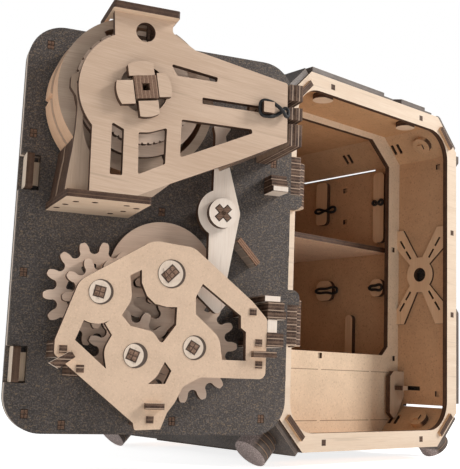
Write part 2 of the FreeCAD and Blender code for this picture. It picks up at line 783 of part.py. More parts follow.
def door_core():
    """The pale middle sheet, with channels for the bolt bar and pockets for the hinges."""
    core = sheet(DOOR, CORE_LEVEL, door_outline())
    cuts = []
    channel = through_core(bolt_bar_outline(BAR_CLEARANCE))
    cuts.append(channel)
    moved = channel.copy()
    moved.translate(X * BOLT_TRAVEL)
    cuts.append(moved)
    cuts.append(through_core(rect(RACK_START - 1, 105, RACK_Z - 2, RACK_Z + 2.0)))
    cuts.append(through_core((BOLT_AXIS[0], BOLT_AXIS[1], BOLT_RACK_RADIUS + 2.0)))
    for low, high in (UPPER_BOLT, LOWER_BOLT):
        cuts.append(through_core(rect(124.3, 140, low - 0.3, high + 0.3)))
    for low in (UPPER_HINGE_Z, LOWER_HINGE_Z):
        cuts.append(through_core(rect(0, HINGE_S + TONGUE_END, low, low + LEAF_HEIGHT)))
    cuts.append(through_core(shaft_hole(DIAL_AXIS, DIAL_SHAFT_SIDE)))
    cuts.append(through_core(shaft_hole(DRIVE_AXIS, DRIVE_SHAFT_SIDE)))
    return core.cut(cuts)


PANEL_MARKS = [
    (123.4, 171.8), (128.0, 132.6), (71.0, 104.8), (128.0, 74.3), (123.8, 17.6), (108.8, 13.4),
    (62.2, 15.5), (21.3, 17.0), (18.8, 132.5),
]


def door_inner_panel():
    """The dark inner sheet, with an ear beside each hinge and two notches for the bolts."""
    panel = prism(DOOR, INNER_LEVEL, SHEET, door_outline())
    ears = [
        [(4.0, 112.3, 3.5), (14.0, 112.3), (14.0, UPPER_HINGE_Z - 0.2), (4.0, UPPER_HINGE_Z - 0.2)],
        [(4.0, LOWER_HINGE_Z + LEAF_HEIGHT + 0.2), (14.0, LOWER_HINGE_Z + LEAF_HEIGHT + 0.2), (14.0, 74.9),
         (4.0, 74.9, 3.5)],
    ]
    panel = fuse([panel] + [prism(DOOR, INNER_LEVEL, SHEET, ear) for ear in ears])
    cuts = []
    for low, high in (UPPER_BOLT, LOWER_BOLT):
        cuts.append(prism(DOOR, INNER_LEVEL - 1, SHEET + 2, rect(124.3, 140, low - 0.3, high + 0.3)))
    for axis, side in (
        (DIAL_AXIS, DIAL_SHAFT_SIDE), (DRIVE_AXIS, DRIVE_SHAFT_SIDE), (SIDE_AXIS, SHAFT_SIDE),
        (IDLER_AXIS, SHAFT_SIDE),
    ):
        cuts.append(prism(DOOR, INNER_LEVEL - 1, SHEET + 2, shaft_hole(axis, side)))
    cuts.append(prism(DOOR, INNER_LEVEL - 1, SHEET + 2, (BOLT_AXIS[0], BOLT_AXIS[1], DOWEL_RADIUS + FIT)))
    for u, v in PANEL_MARKS:
        cuts.append(prism(DOOR, INNER_LEVEL + SHEET - 0.8, 2, rect(u - 1.5, u + 1.5, v - 1.9, v + 1.9)))
    return panel.cut(cuts)


TONGUE_END = 16.0


def hinge_leaves():
    """Stacked hooked leaves: a knuckle on the pin, a neck through the gap, a tongue in the door."""
    base = Plane(Vec(HINGE_S, HINGE_LEVEL, 0), X, Y, Z)
    edge = DOOR_NEAR - HINGE_S
    core = CORE_LEVEL - HINGE_LEVEL
    face = -HINGE_LEVEL
    hook = [
        (0, -KNUCKLE_RADIUS), (5.0, -KNUCKLE_RADIUS, 1.5), (edge, 1.0, 1.5), (edge, core),
        (TONGUE_END, core), (TONGUE_END, core + SHEET), (edge, core + SHEET), (edge, face),
        (3.9, face, 1.0), (3.9, core + SHEET, 1.0), (6.5, core + SHEET, 1.0), (6.5, 4.6, 1.0), (0, 3.4),
    ]
    leaves = []
    for low in (UPPER_HINGE_Z, LOWER_HINGE_Z):
        for i in range(LEAVES_PER_HINGE):
            z = low + i * SHEET
            knuckle = prism(base, z, SHEET, (0, 0, KNUCKLE_RADIUS))
            leaf = fuse([knuckle, prism(base, z, SHEET, hook)])
            leaves.append(leaf.cut(prism(base, z - 1, SHEET + 2, (0, 0, PIN_RADIUS + FIT))))
    return leaves


# Bolts


def bolt_bar():
    """The hidden bar with its rack."""
    level = BOLT_BAR_LEVEL
    pieces = [prism(DOOR, level, BOLT_BAR_THICK, bolt_bar_outline())]
    pitch = math.pi * BOLT_PINION_MODULE
    half = pitch / 4 - 0.2
    teeth = 6
    for i in range(teeth):
        centre = BOLT_AXIS[0] + (i - teeth // 2 - 0.5) * pitch
        tooth = [
            (centre - half - 0.55, RACK_Z - 1.7), (centre + half + 0.55, RACK_Z - 1.7),
            (centre + half - 0.35, RACK_Z + 1.1), (centre - half + 0.35, RACK_Z + 1.1),
        ]
        pieces.append(prism(DOOR, level, BOLT_BAR_THICK, tooth))
    for low, high in ((UPPER_BAR[0] + 2, UPPER_BAR[1] - 2), (34.0, 40.0)):
        tongue = rect(BOLT_PLATE_S - 1, BOLT_PLATE_S + SHEET, low, high)
        pieces.append(prism(DOOR, level, BOLT_BAR_THICK, tongue))
    return fuse(pieces)


def bolt_plates():
    """The two end plates, square to the bar, that slide behind the front plate."""
    side = Plane(Vec(BOLT_PLATE_S, 0, 0), Y, Z, X)
    level = BOLT_BAR_LEVEL
    plates = []
    spans = ((UPPER_BOLT, (UPPER_BAR[0] + 2, UPPER_BAR[1] - 2)), (LOWER_BOLT, (34.0, 40.0)))
    for (low, high), (slot_low, slot_high) in spans:
        slot = rect(level, level + BOLT_BAR_THICK, slot_low, slot_high)
        plates.append(sheet(side, 0, rect(-5.6, 5.4, low, high, 1.2), [slot]))
    return plates


# Gear train


def lock_disc():
    """A plain disc on the drive shaft, with one notch in its rim."""
    notch = [
        polar(DRIVE_AXIS, 17.0, -120), polar(DRIVE_AXIS, 27.0, -122), polar(DRIVE_AXIS, 27.0, -138),
        polar(DRIVE_AXIS, 17.0, -136),
    ]
    bore = square(DRIVE_AXIS[0], DRIVE_AXIS[1], DRIVE_SHAFT_SIDE, DRIVE_TURN)
    return sheet(DOOR, 3.0, (DRIVE_AXIS[0], DRIVE_AXIS[1], LOCK_DISC_RADIUS), [bore, notch])


def bolt_pinion():
    """The small wheel in the core that drives the bolts, on a round dowel."""
    level = BOLT_BAR_LEVEL
    outline = gear_wire(BOLT_AXIS, BOLT_TEETH, BOLT_PINION_MODULE, level, -90)
    bore = (BOLT_AXIS[0], BOLT_AXIS[1], DOWEL_RADIUS)
    body = prism(DOOR, level, BOLT_BAR_THICK, outline)
    return body.cut(prism(DOOR, level - 1, BOLT_BAR_THICK + 2, bore))


def bolt_shaft():
    """A square shaft above its wheel and a slim dowel below, which passes beside the idler."""
    neck = HIGH_WHEELS - 0.4
    pieces = shaft_with_bush(BOLT_AXIS, SHAFT_SIDE, BUSH_RADIUS, neck, BOLT_TURN)
    low = BOLT_BAR_LEVEL
    dowel = prism(DOOR, low, neck - low + 1, (BOLT_AXIS[0], BOLT_AXIS[1], DOWEL_RADIUS))
    return [fuse([pieces[0], dowel]), pieces[1]]


def shaft_with_bush(axis, side, bush_radius, low, turn):
    """A square shaft from a low level up to the gear plate, with its round bush."""
    bar = prism(DOOR, low, SHAFT_TOP - low, square(axis[0], axis[1], side, turn))
    hole = square(axis[0], axis[1], side, turn)
    bush = sheet(DOOR, GEAR_PLATE_LEVEL, (axis[0], axis[1], bush_radius), [hole], thick=SHEET + 0.3)
    return [bar, bush]


GEAR_PLATE_EDGE = [
    (108.8, 70.6, 8.0), (117.0, 47.0, 2.0), (117.0, 41.5, 2.0), (84.4, 15.8), (83.7, 12.9, 1.0),
    (73.1, 13.4), (70.5, 20.0), (67.5, 24.0, 2.0), (64.3, 30.5, 3.0), (57.0, 34.4, 4.0), (28.3, 34.4, 3.0),
    (28.1, 59.6, 3.0), (35.2, 66.8, 3.0), (62.0, 87.5, 8.0), (79.5, 89.0, 9.0),
]
GEAR_PLATE_WINDOWS = [
    [(88.6, 74.0), (83.9, 76.6), (83.6, 71.3), (81.2, 66.2), (77.7, 63.2), (72.6, 62.2), (68.3, 62.4),
     (68.4, 55.1), (73.6, 47.9), (74.8, 47.9), (78.0, 52.0, 4.0), (87.4, 53.8), (91.1, 57.9),
     (87.2, 64.6, 8.0)],
    [(106.2, 55.1), (100.0, 52.4, 10.0), (97.7, 54.2), (94.7, 49.8), (97.8, 43.8, 8.0), (96.3, 36.5),
     (109.2, 47.2)],
    [(57.6, 72.7), (40.2, 60.4), (40.0, 55.4), (37.7, 53.8), (37.4, 41.8), (47.9, 41.8), (49.5, 51.0, 7.0),
     (60.1, 60.0), (60.4, 67.1)],
    [(72.4, 40.1), (69.5, 36.6), (71.9, 31.3), (79.0, 31.1), (75.5, 34.0, 8.0)],
]
GEAR_PLATE_PEGS = [(34.8, 62.4), (31.8, 49.5), (31.5, 40.3), (113.6, 43.5), (106.6, 36.2), (77.6, 17.0)]


def gear_plate():
    """The bearing plate over the gear train."""
    holes = list(GEAR_PLATE_WINDOWS)
    holes.append((DRIVE_AXIS[0], DRIVE_AXIS[1], DRIVE_BUSH_RADIUS + FIT))
    for axis in (SIDE_AXIS, IDLER_AXIS, BOLT_AXIS):
        holes.append((axis[0], axis[1], BUSH_RADIUS + FIT))
    plate = sheet(DOOR, GEAR_PLATE_LEVEL, GEAR_PLATE_EDGE, holes)
    for u, v in GEAR_PLATE_PEGS:
        plate = plate.cut(prism(DOOR, GEAR_PLATE_LEVEL - 1, SHEET + 2, square(u, v, PEG)))
    return plate


POST_LAYERS = [
    (67.1, 69.9, 22.1, 29.7, 19.5), (63.3, 67.1, 20.6, 28.0, 20.5), (59.9, 63.3, 19.4, 28.0, 20.0),
    (53.9, 59.9, 23.1, 28.0, 19.0), (48.0, 53.9, 20.6, 28.0, 20.5),
]


def gear_plate_posts():
    """Layered posts beside the gear plate, pegs through it with their sleeves, and wedges on top."""
    pieces = []
    for low, high, near, far, height in POST_LAYERS:
        pieces.append(prism(DOOR, 0, height, rect(near, far, low, high)))
    pieces.append(prism(DOOR, GEAR_PLATE_LEVEL + SHEET, SHEET, rect(24.6, 35.0, 43.4, 46.0)))
    for u, v in GEAR_PLATE_PEGS:
        pieces.append(prism(DOOR, 0, GEAR_PLATE_LEVEL + SHEET + 0.4, square(u, v, PEG)))
    for u, v in ((113.6, 43.5), (106.6, 36.2), (77.6, 17.0)):
        pieces.append(sheet(DOOR, 0, square(u, v, 6.4), [square(u, v, PEG)], thick=GEAR_PLATE_LEVEL))
    slanted_wedge = [(119.0, 38.0), (110.8, 43.0), (109.2, 40.6), (115.4, 36.0)]
    for wedge in (slanted_wedge, rect(72.6, 80.1, 21.2, 23.6)):
        pieces.append(prism(DOOR, GEAR_PLATE_LEVEL + SHEET, SHEET, wedge))
    return pieces


# Lever


def lever():
    """A long lever on a round post, between the combination lock and the lock disc."""
    s, z = LEVER_AXIS
    body = prism(DOOR, LEVER_LEVEL, SHEET, [
        (52.4, 113.0), (52.4, 138.6), (53.4, 142.6, 0.5), (45.2, 142.6, 0.5), (47.6, 138.6), (45.9, 126.8),
        (39.6, 105.0, 6.0),
        (44.8, 74.9), (43.2, 67.0, 2.0), (48.5, 60.5, 2.0), (58.5, 69.2, 2.0), (53.4, 74.3), (53.6, 95.5),
    ])
    lobe = prism(DOOR, LEVER_LEVEL, SHEET, (s + 0.8, z, 10.4))
    lobe = lobe.common(prism(DOOR, LEVER_LEVEL, SHEET, rect(s, s + 20, z - 20, z + 20)))
    return fuse([body, lobe]).cut(prism(DOOR, LEVER_LEVEL - 1, 8, (s, z, 3.0 + FIT)))


def lever_post():
    """The post under the lever, its spacer and the round cap over it."""
    s, z = LEVER_AXIS
    cap_level = LEVER_LEVEL + SHEET + 0.2
    post = prism(DOOR, 0, cap_level + SHEET, (s, z, 3.0))
    spacer = sheet(DOOR, 0, (s, z, 6.0), [(s, z, 3.0)], thick=LEVER_LEVEL - 0.2)
    cap = sheet(DOOR, cap_level, (s + 0.9, z - 0.3, 6.4), [(s, z, 3.0)])
    return [post, spacer, cap]


def door_blocks():
    """Small laminated blocks that stand on the door beside the lever and the hinges."""
    lean = math.radians(47)
    along = Vec(math.cos(lean), 0, math.sin(lean))
    across = Vec(-math.sin(lean), 0, math.cos(lean))
    slanted = Plane(Vec(33.1, 0, 89.6), along, across, Y)
    pieces = [prism(slanted, 0, 8.0 - i * 0.8, rect(-7.2, 7.2, i * 1.5 - 1.5, i * 1.5)) for i in range(2)]
    for i in range(3):
        pieces.append(prism(DOOR, 0, 10.0 - i, rect(15.6, 23.2, 117.6 + i * 2.6, 120.2 + i * 2.6)))
    return pieces


# Combination lock

KEY_RADIUS = 11.3
SHAFT_END_HOLE = 9.8
GUSSET = [(91.5, 103.6), (78.4, 109.8), (85.6, 103.6)]
CASE_EDGE = [
    (104.7, CASE_TOP), (104.0, 167.0), (114.45, 161.52, 24.0), (118.74, 138.37, 24.0), (110.9, 129.3),
    (110.5, 103.6), GUSSET[0], GUSSET[1], (49.3, 123.0), (28.4, 133.2), (28.9, 158.7, 1.0), (70.5, 166.3),
    (80.5, 172.0, 2.0), (80.5, 174.6), (79.2, CASE_TOP),
]
NECK_HOLE = (91.6, 170.3, 4.0)


def case_windows():
    return [
        NECK_HOLE,
        [(103.2, 131.6, 0.6), (98.3, 129.4, 0.6), (98.0, 110.9, 0.6), (103.0, 110.9, 0.6)],
        [(92.4, 128.9, 0.6), (87.8, 129.5, 12.0), (80.9, 132.2, 0.6), (81.0, 117.5, 0.6), (91.8, 112.0, 0.6)],
        [(75.0, 136.6, 0.8), (44.6, 136.6, 0.7), (44.2, 134.9, 0.7), (75.0, 120.8, 0.8)],
        [(80.6, 159.0, 0.6), (60.3, 156.4, 0.6), (60.6, 154.4, 0.6), (77.6, 154.4, 0.6)],
        rect(36.2, 66.6, 144.3, 147.0, 0.4),
        (DIAL_AXIS[0], DIAL_AXIS[1], SHAFT_END_HOLE),
    ]


def case_front_plate():
    return sheet(DOOR, CASE_LEVEL, CASE_EDGE, case_windows())


MIDDLE_PLATE_LEVEL = DRIVE_DISC_LEVEL + SHEET + 0.1
WHEEL_CLEARANCE = 0.7


def case_curved_wall():
    """Stacked strips under the wheels at the far side of the case, waisted towards the top."""
    wheels = (DIAL_AXIS[0], DIAL_AXIS[1], REAR_WHEEL_RADIUS + WHEEL_CLEARANCE)
    pieces = []
    half = MIDDLE_PLATE_LEVEL / 2
    for level, spread in ((0, 0.5), (half, 0)):
        outline = [
            (119.3 + spread, 103.6), (118.7 + spread, 109.2), (118.0 + spread, 114.4),
            (117.3 + spread, 119.2), (116.9, 128.0), (110.0, 128.0), (112.6, 118.0), (114.0, 110.0),
            (114.6, 103.6),
        ]
        strip = prism(DOOR, level, half, outline)
        pieces.append(strip.cut(prism(DOOR, level - 1, half + 2, wheels)))
    return pieces


def case_middle_plate():
    """A plate behind the front one, cut round the fine disc, with a lobe beside the front wheel."""
    edge = [
        (119.3, 103.6), (118.7, 109.2), (118.1, 114.4), (117.4, 119.2), (116.7, 127.3), (116.4, 135.3),
        (116.6, 138.5), (117.2, 141.0, 1.0), (119.6, 144.2, 2.4), (119.6, 149.2, 2.0), (116.5, 150.4, 1.0),
        (112.8, 149.6), (100.0, 140.0), (100.0, 103.6),
    ]
    hollow = (87.3, 132.7, 26.8)
    ring = (DIAL_AXIS[0], DIAL_AXIS[1], FINE_DISC_RADIUS + WHEEL_CLEARANCE)
    eye = (116.2, 146.3, 1.1)
    plate = prism(DOOR, MIDDLE_PLATE_LEVEL, CASE_LEVEL - MIDDLE_PLATE_LEVEL, edge)
    for hole in (hollow, ring, eye):
        plate = plate.cut(prism(DOOR, DRIVE_DISC_LEVEL, CASE_LEVEL, hole))
    return plate


def case_gusset():
    """The corner left of the front plate that runs under the bottom bracket's end."""
    return prism(DOOR, CASE_LEVEL, SHEET, GUSSET)


BRACKET_FRONT = 40.0


def case_top_bracket():
    """The roof of the case's neck, with a slim leg beside the front code wheel."""
    low = FRONT_WHEEL_LEVEL + CODE_SHEETS * SHEET + 0.3
    edge = [
        (78.7, low), (104.45, low), (104.45, FRONT_WHEEL_LEVEL + 0.2), (105.9, FRONT_WHEEL_LEVEL + 0.2),
        (105.9, BRACKET_FRONT, 1.0), (78.7, BRACKET_FRONT, 1.0),
    ]
    return prism(FLAT, CASE_TOP, SHEET, edge)


BRACKET_DOWELS = [
    (113.4, 26), (106.3, 28), (116.1, 18), (118.0, 9), (93.6, 28), (88.6, 24), (91.8, 15), (95.4, 7),
]


def case_bottom_bracket():
    """The floor of the lock case, wider at the door, with the ends of its dowels showing."""
    edge = [(86.0, 0), (121.0, 0), (120.4, 12.0), (118.8, 36.0, 1.0), (85.6, 36.0, 1.0)]
    bracket = prism(FLAT, 100.6, SHEET, edge)
    for u, level in BRACKET_DOWELS:
        bracket = bracket.cut(prism(FLAT, 99.6, 1.6, (u, level, 1.3)))
    return bracket


def case_side_plate():
    """A plate on edge under the sloping lower side of the case."""
    start = Vec(50.0, 0, 122.2)
    end = Vec(29.2, 0, 132.6)
    along = (end - start).normalize()
    across = Vec(-along.z, 0, along.x) * -1
    plane = Plane(start, along, Y, across)
    length = (end - start).Length
    return prism(plane, 0.4, SHEET, rect(0, length, 14.0, CASE_LEVEL))


END_BLOCK_S = 21.6


def case_end_blocks():
    """Three pairs of laminated blocks at the narrow end of the case, from the door to the front plate."""
    pieces = []
    for low, high in ((151.8, 158.8), (143.4, 148.8), (132.0, 141.5)):
        for i in range(2):
            s = END_BLOCK_S + i * SHEET
            pieces.append(prism(DOOR, 0, CASE_LEVEL + SHEET - 0.4 * i, rect(s, s + SHEET, low, high)))
    return pieces


def notch_outline(angle, depth, radius):
    """A V notch in a rim."""
    return [
        polar(DIAL_AXIS, radius - depth, angle), polar(DIAL_AXIS, radius + 1, angle - 3.5),
        polar(DIAL_AXIS, radius + 1, angle + 3.5),
    ]


WHEEL_RIM = 3.6
WHEEL_HUB = 13.0


def wheel_window(radius, start, sweep, level):
    """One curved window between the hub and the rim of a code wheel."""
    outer = radius - WHEEL_RIM
    points = [
        DOOR.point(*polar(DIAL_AXIS, distance, start + sweep * part), level)
        for distance, part in (
            (WHEEL_HUB, 0), (WHEEL_HUB, 0.5), (WHEEL_HUB, 1), (outer, 1), (outer, 0.5), (outer, 0),
        )
    ]
    return Part.Wire([
        Part.Arc(points[0], points[1], points[2]).toShape(),
        Part.LineSegment(points[2], points[3]).toShape(),
        Part.Arc(points[3], points[4], points[5]).toShape(),
        Part.LineSegment(points[5], points[0]).toShape(),
    ])


def code_wheel(level, radius, notch_angle, windows):
    """A wheel of laminated sheets that turns on the square shaft, with one notch in its rim."""
    s, z = DIAL_AXIS
    sheets = []
    for i in range(CODE_SHEETS):
        low = level + i * SHEET
        disc = sheet(DOOR, low, (s, z, radius), [shaft_hole(DIAL_AXIS, DIAL_SHAFT_SIDE)])
        disc = disc.cut(prism(DOOR, low - 1, SHEET + 2, notch_outline(notch_angle, 2.0, radius)))
        for start, sweep in windows:
            disc = disc.cut(prism(DOOR, low - 1, SHEET + 2, wheel_window(radius, start, sweep, low - 1)))
        sheets.append(disc)
    return sheets


def nicked_disc(level, radius, thick, pitch, count, depth):
    """A disc on the dial's shaft with a run of ratchet nicks in its rim, pitch degrees apart."""
    s, z = DIAL_AXIS
    disc = sheet(DOOR, level, (s, z, radius), [dial_bore()], thick=thick)
    for i in range(count):
        disc = disc.cut(prism(DOOR, level - 1, thick + 2, notch_outline(pitch * i, depth, radius)))
    return disc


def dial_bore():
    """The square of the dial's shaft, turned as it stands in the photo."""
    return square(DIAL_AXIS[0], DIAL_AXIS[1], DIAL_SHAFT_SIDE, DIAL_TURN)


def drive_discs():
    """The two discs fixed on the dial's shaft in front of the code wheels."""
    large = nicked_disc(DRIVE_DISC_LEVEL, DRIVE_DISC_RADIUS, SHEET, 12, 9, 0.8)
    fine = nicked_disc(DRIVE_DISC_LEVEL + SHEET, FINE_DISC_RADIUS, SHEET - 0.2, 360 / 54, 54, 0.7)
    return [large, fine]


KEY_LEVEL = CASE_LEVEL + SHEET + 0.3
KEY_DRIFT = (0.8, -0.8)
DIAL_SHAFT_BORE = 3.0


def dial_shaft():
    """The laminated square shaft with a square bore."""
    inner = square(DIAL_AXIS[0], DIAL_AXIS[1], DIAL_SHAFT_BORE, DIAL_TURN)
    low = OUTER_LEVEL - 8.0
    return sheet(DOOR, low, dial_bore(), [inner], thick=KEY_LEVEL + SHEET + 0.2 - low)


def shaft_keys():
    """Four keys round the end of the shaft, cut from one disc, that hold it against the case."""
    turned = math.radians(DIAL_TURN)
    along = Vec(math.cos(turned), 0, math.sin(turned))
    across = Vec(-math.sin(turned), 0, math.cos(turned))
    plane = Plane(Vec(DIAL_AXIS[0], 0, DIAL_AXIS[1]), along, across, Y)
    half = DIAL_SHAFT_SIDE / 2
    far = KEY_RADIUS + 2
    spans = [
        rect(-4.1, 6.3, half, far), rect(-4.3, 3.8, -far, -half - 1.0),
        rect(half + 0.4, far, -6.6, 2.9), rect(-far, -half - 0.4, -4.3, 5.5),
    ]
    disc = prism(plane, KEY_LEVEL, SHEET, (KEY_DRIFT[0], KEY_DRIFT[1], KEY_RADIUS))
    return [disc.common(prism(plane, KEY_LEVEL, SHEET, span)) for span in spans]


DIAL_RADIUS = 24.0


def dial():
    """The knob on the outside of the door: a wide numbered disc and a smaller grip."""
    s, z = DIAL_AXIS
    bore = dial_bore()
    plate = sheet(DOOR, OUTER_LEVEL - 4.0, (s, z, DIAL_RADIUS), [bore])
    ring = sheet(DOOR, OUTER_LEVEL - 7.0, (s, z, DIAL_RADIUS - 7.0), [bore])
    grip = prism(DOOR, OUTER_LEVEL - 16.0, 9.0, (s, z, DIAL_RADIUS - 10.0))
    grip = grip.cut(prism(DOOR, OUTER_LEVEL - 8.1, 3, bore))
    return [plate, ring, grip]


def handle():
    """The spoked handle on the outside of the door."""
    s, z = DRIVE_AXIS
    bore = square(s, z, DRIVE_SHAFT_SIDE, DRIVE_TURN)
    hub = sheet(DOOR, OUTER_LEVEL - 10.0, (s, z, 11.0), [bore], thick=9.0)
    pieces = [hub]
    for i in range(4):
        angle = 45 + 90 * i
        turned = math.radians(angle)
        along = Vec(math.cos(turned), 0, math.sin(turned))
        across = Vec(-math.sin(turned), 0, math.cos(turned))
        arm = Plane(Vec(s, 0, z), along, across, Y)
        outline = [(7.0, -3.0), (26.0, -2.2), (32.0, -4.2, 3.0), (32.0, 4.2, 3.0), (26.0, 2.2), (7.0, 3.0)]
        pieces.append(prism(arm, OUTER_LEVEL - 8.0, SHEET, outline))
    whole = fuse(pieces)
    return whole.cut(prism(DOOR, OUTER_LEVEL - 11.0, 12, bore))


def latch_slider():
    """A short slider behind the slot of the case, with a headed peg that comes out through it."""
    bar = prism(DOOR, DRIVE_DISC_LEVEL, SHEET, rect(33.0, 43.6, 141.6, 149.8, 1.0))
    neck_length = CASE_LEVEL + SHEET + 0.5 - DRIVE_DISC_LEVEL
    neck = prism(DOOR, DRIVE_DISC_LEVEL, neck_length, rect(36.4, 41.2, 144.5, 146.8))
    head = prism(DOOR, CASE_LEVEL + SHEET + 0.4, 4.0, rect(36.4, 41.2, 143.6, 148.2))
    return fuse([bar, neck, head])


def rubber_band():
    """A rubber loop from the peg towards the narrow end of the case, in front of the plate."""
    level = CASE_LEVEL + SHEET + 1.4
    outer = rect(28.4, 42.6, 142.2, 149.6, 3.0)
    inner = rect(29.8, 41.2, 143.6, 148.2)
    return sheet(DOOR, level, outer, [inner], thick=1.4)


def write_body():
    save("front_frame", front_frame())
    save("back_panel", back_panel())
    save("partition_panel", partition_panel())
    save("left_wall", left_wall())
    save("right_wall", right_wall())
    save("ceiling_panel", ceiling_panel())
    save("floor_panel", floor_panel())
    save("corner_panels", [corner_panel(side, upper) for side, upper in CORNERS])
    save("corner_caps", corner_caps())
    save("ceiling_lugs", ceiling_lugs())
    save("wall_brace", wall_brace())
    save("stop_plate", stop_plate())
    save("shelf", shelf())
    save("band_hooks", band_hooks())
    save("elastic_bands", elastic_bands())
    save("side_covers", [side_cover(-1), side_cover(1)])
    save("top_cover", top_cover())
    save("bottom_cover", bottom_cover())
    save("corner_covers", [corner_cover(side, upper) for side, upper in CORNERS])
    save("cover_rails", spacer_rails())
    for name, y in (("front_feet", FOOT_FROM_END), ("rear_feet", DEPTH - FOOT_FROM_END)):
        save(name, foot(-1, y) + foot(1, y))
    save("hinge_brackets", hinge_bracket())
    save("hinge_pins", hinge_pins())


def write_door():
    save("door_outer_panel", hang(door_outer_panel()))
    save("door_core", hang(door_core()))
    save("door_inner_panel", hang(door_inner_panel()))
    save("hinge_leaves", hang(hinge_leaves()))
    save("door_blocks", hang(door_blocks()))
    save("case_front_plate", hang(case_front_plate()))
    save("case_walls", hang(case_curved_wall() + [case_middle_plate(), case_gusset()]))
    save("case_top_bracket", hang(case_top_bracket()))
    save("case_bottom_bracket", hang(case_bottom_bracket()))
    save("case_blocks", hang([case_side_plate()] + case_end_blocks()))
    save("rubber_band", hang(rubber_band()))
    save("gear_plate", hang(gear_plate()))
    save("gear_plate_posts", hang(gear_plate_posts()))
    save("lever_post", hang(lever_post()))


def write_moving():
    save("dial", hang(dial()))
    save("dial_shaft", hang(dial_shaft()))
    save("shaft_keys", hang(shaft_keys()))
    save("drive_disc", hang(drive_discs()))
    front_windows = [(58, 82), (185, 60)]
    rear_windows = [(40, 84), (160, 84)]
    save("front_code_wheel", hang(code_wheel(FRONT_WHEEL_LEVEL, FRONT_WHEEL_RADIUS, 115, front_windows)))
    save("rear_code_wheel", hang(code_wheel(REAR_WHEEL_LEVEL, REAR_WHEEL_RADIUS, -3, rear_windows)))
    save("latch_slider", hang(latch_slider()))
    save("lever", hang(lever()))
    save("handle", hang(handle()))
    save("drive_shaft", hang(shaft_with_bush(
        DRIVE_AXIS, DRIVE_SHAFT_SIDE, DRIVE_BUSH_RADIUS, OUTER_LEVEL - 9.0, DRIVE_TURN)))
    save("lock_disc", hang(lock_disc()))
    save("drive_gear", hang(wheel(DRIVE_AXIS, DRIVE_TEETH, LOW_WHEELS, DRIVE_TURN, DRIVE_SHAFT_SIDE)))
    save("side_gear", hang(wheel(SIDE_AXIS, SIDE_TEETH, LOW_WHEELS, SIDE_TURN, SHAFT_SIDE, windows=7)))
    save("small_side_gear", hang(wheel(SIDE_AXIS, SMALL_SIDE_TEETH, HIGH_WHEELS, SIDE_TURN, SHAFT_SIDE)))
    save("side_gear_shaft", hang(shaft_with_bush(SIDE_AXIS, SHAFT_SIDE, BUSH_RADIUS, INNER_LEVEL, SIDE_TURN)))
    save("idler_gear", hang(wheel(IDLER_AXIS, IDLER_TEETH, LOW_WHEELS, IDLER_TURN, SHAFT_SIDE, windows=5)))
    save("idler_shaft", hang(shaft_with_bush(IDLER_AXIS, SHAFT_SIDE, BUSH_RADIUS, INNER_LEVEL, IDLER_TURN)))
    save("bolt_gear", hang(wheel(BOLT_AXIS, BOLT_GEAR_TEETH, HIGH_WHEELS, BOLT_TURN, SHAFT_SIDE)))
    save("bolt_pinion", hang(bolt_pinion()))
    save("bolt_shaft", hang(bolt_shaft()))
    save("bolt_bar", hang(bolt_bar()))
    save("bolt_plates", hang(bolt_plates()))


os.makedirs("parts", exist_ok=True)
write_body()
write_door()
write_moving()
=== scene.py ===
import math

import bmesh
import bpy
from mathutils import Matrix, Vector


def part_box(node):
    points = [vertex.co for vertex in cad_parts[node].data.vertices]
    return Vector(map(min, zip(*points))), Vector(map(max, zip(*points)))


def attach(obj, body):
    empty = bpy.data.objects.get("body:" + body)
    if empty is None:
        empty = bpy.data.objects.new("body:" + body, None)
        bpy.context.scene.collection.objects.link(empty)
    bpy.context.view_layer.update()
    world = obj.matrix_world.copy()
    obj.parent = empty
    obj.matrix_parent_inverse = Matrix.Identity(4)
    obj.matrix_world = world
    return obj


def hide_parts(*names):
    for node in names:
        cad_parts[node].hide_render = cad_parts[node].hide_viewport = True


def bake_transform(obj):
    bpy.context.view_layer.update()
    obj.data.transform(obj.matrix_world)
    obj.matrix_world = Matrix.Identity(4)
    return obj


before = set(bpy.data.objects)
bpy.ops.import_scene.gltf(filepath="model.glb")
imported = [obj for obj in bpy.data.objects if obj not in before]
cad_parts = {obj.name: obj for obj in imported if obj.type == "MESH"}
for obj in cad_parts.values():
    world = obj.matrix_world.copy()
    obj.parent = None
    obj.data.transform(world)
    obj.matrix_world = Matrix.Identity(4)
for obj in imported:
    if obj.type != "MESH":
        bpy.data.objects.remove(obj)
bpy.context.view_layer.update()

MM = 0.001
SHEET = 3 * MM

# Where the body's front plate and the open door lie in the row frame

FRONT_Y = -75 * MM
BODY_BASE = 7.163 * MM
BODY_HALF_WIDTH = 72
BODY_HALF_HEIGHT = 95
CHAMFER_TOP = 171.8
HINGE = Vector((-69.3, -81.0, 0.0)) * MM
DOOR_TURN = math.radians(-200.3)
HINGE_ACROSS = 0.75
HINGE_TO_FACE = 14.72
DOOR_ALONG = Vector((math.cos(DOOR_TURN), math.sin(DOOR_TURN), 0.0))
DOOR_UP = Vector((0.0, 0.0, 1.0))
DOOR_OUT = Vector((-math.sin(DOOR_TURN), math.cos(DOOR_TURN), 0.0))
BODY_X = Vector((1.0, 0.0, 0.0))
BODY_Y = Vector((0.0, 1.0, 0.0))
BODY_Z = Vector((0.0, 0.0, 1.0))
RISING = (BODY_X + BODY_Z).normalized()
FALLING = (BODY_X - BODY_Z).normalized()
MID_HEIGHT = BODY_HALF_HEIGHT * MM + BODY_BASE


def on_door(s, z, h):
    """A point of the open door: distance across it, height, and level over its inner face."""
    across = DOOR_ALONG * ((s - HINGE_ACROSS) * MM)
    return HINGE + across + DOOR_UP * (z * MM + BODY_BASE) + DOOR_OUT * ((h + HINGE_TO_FACE) * MM)


def on_body(x, y, z):
    """A point of the body, measured from the middle of the front plate's lower edge."""
    return Vector((x * MM, y * MM + FRONT_Y, z * MM + BODY_BASE))


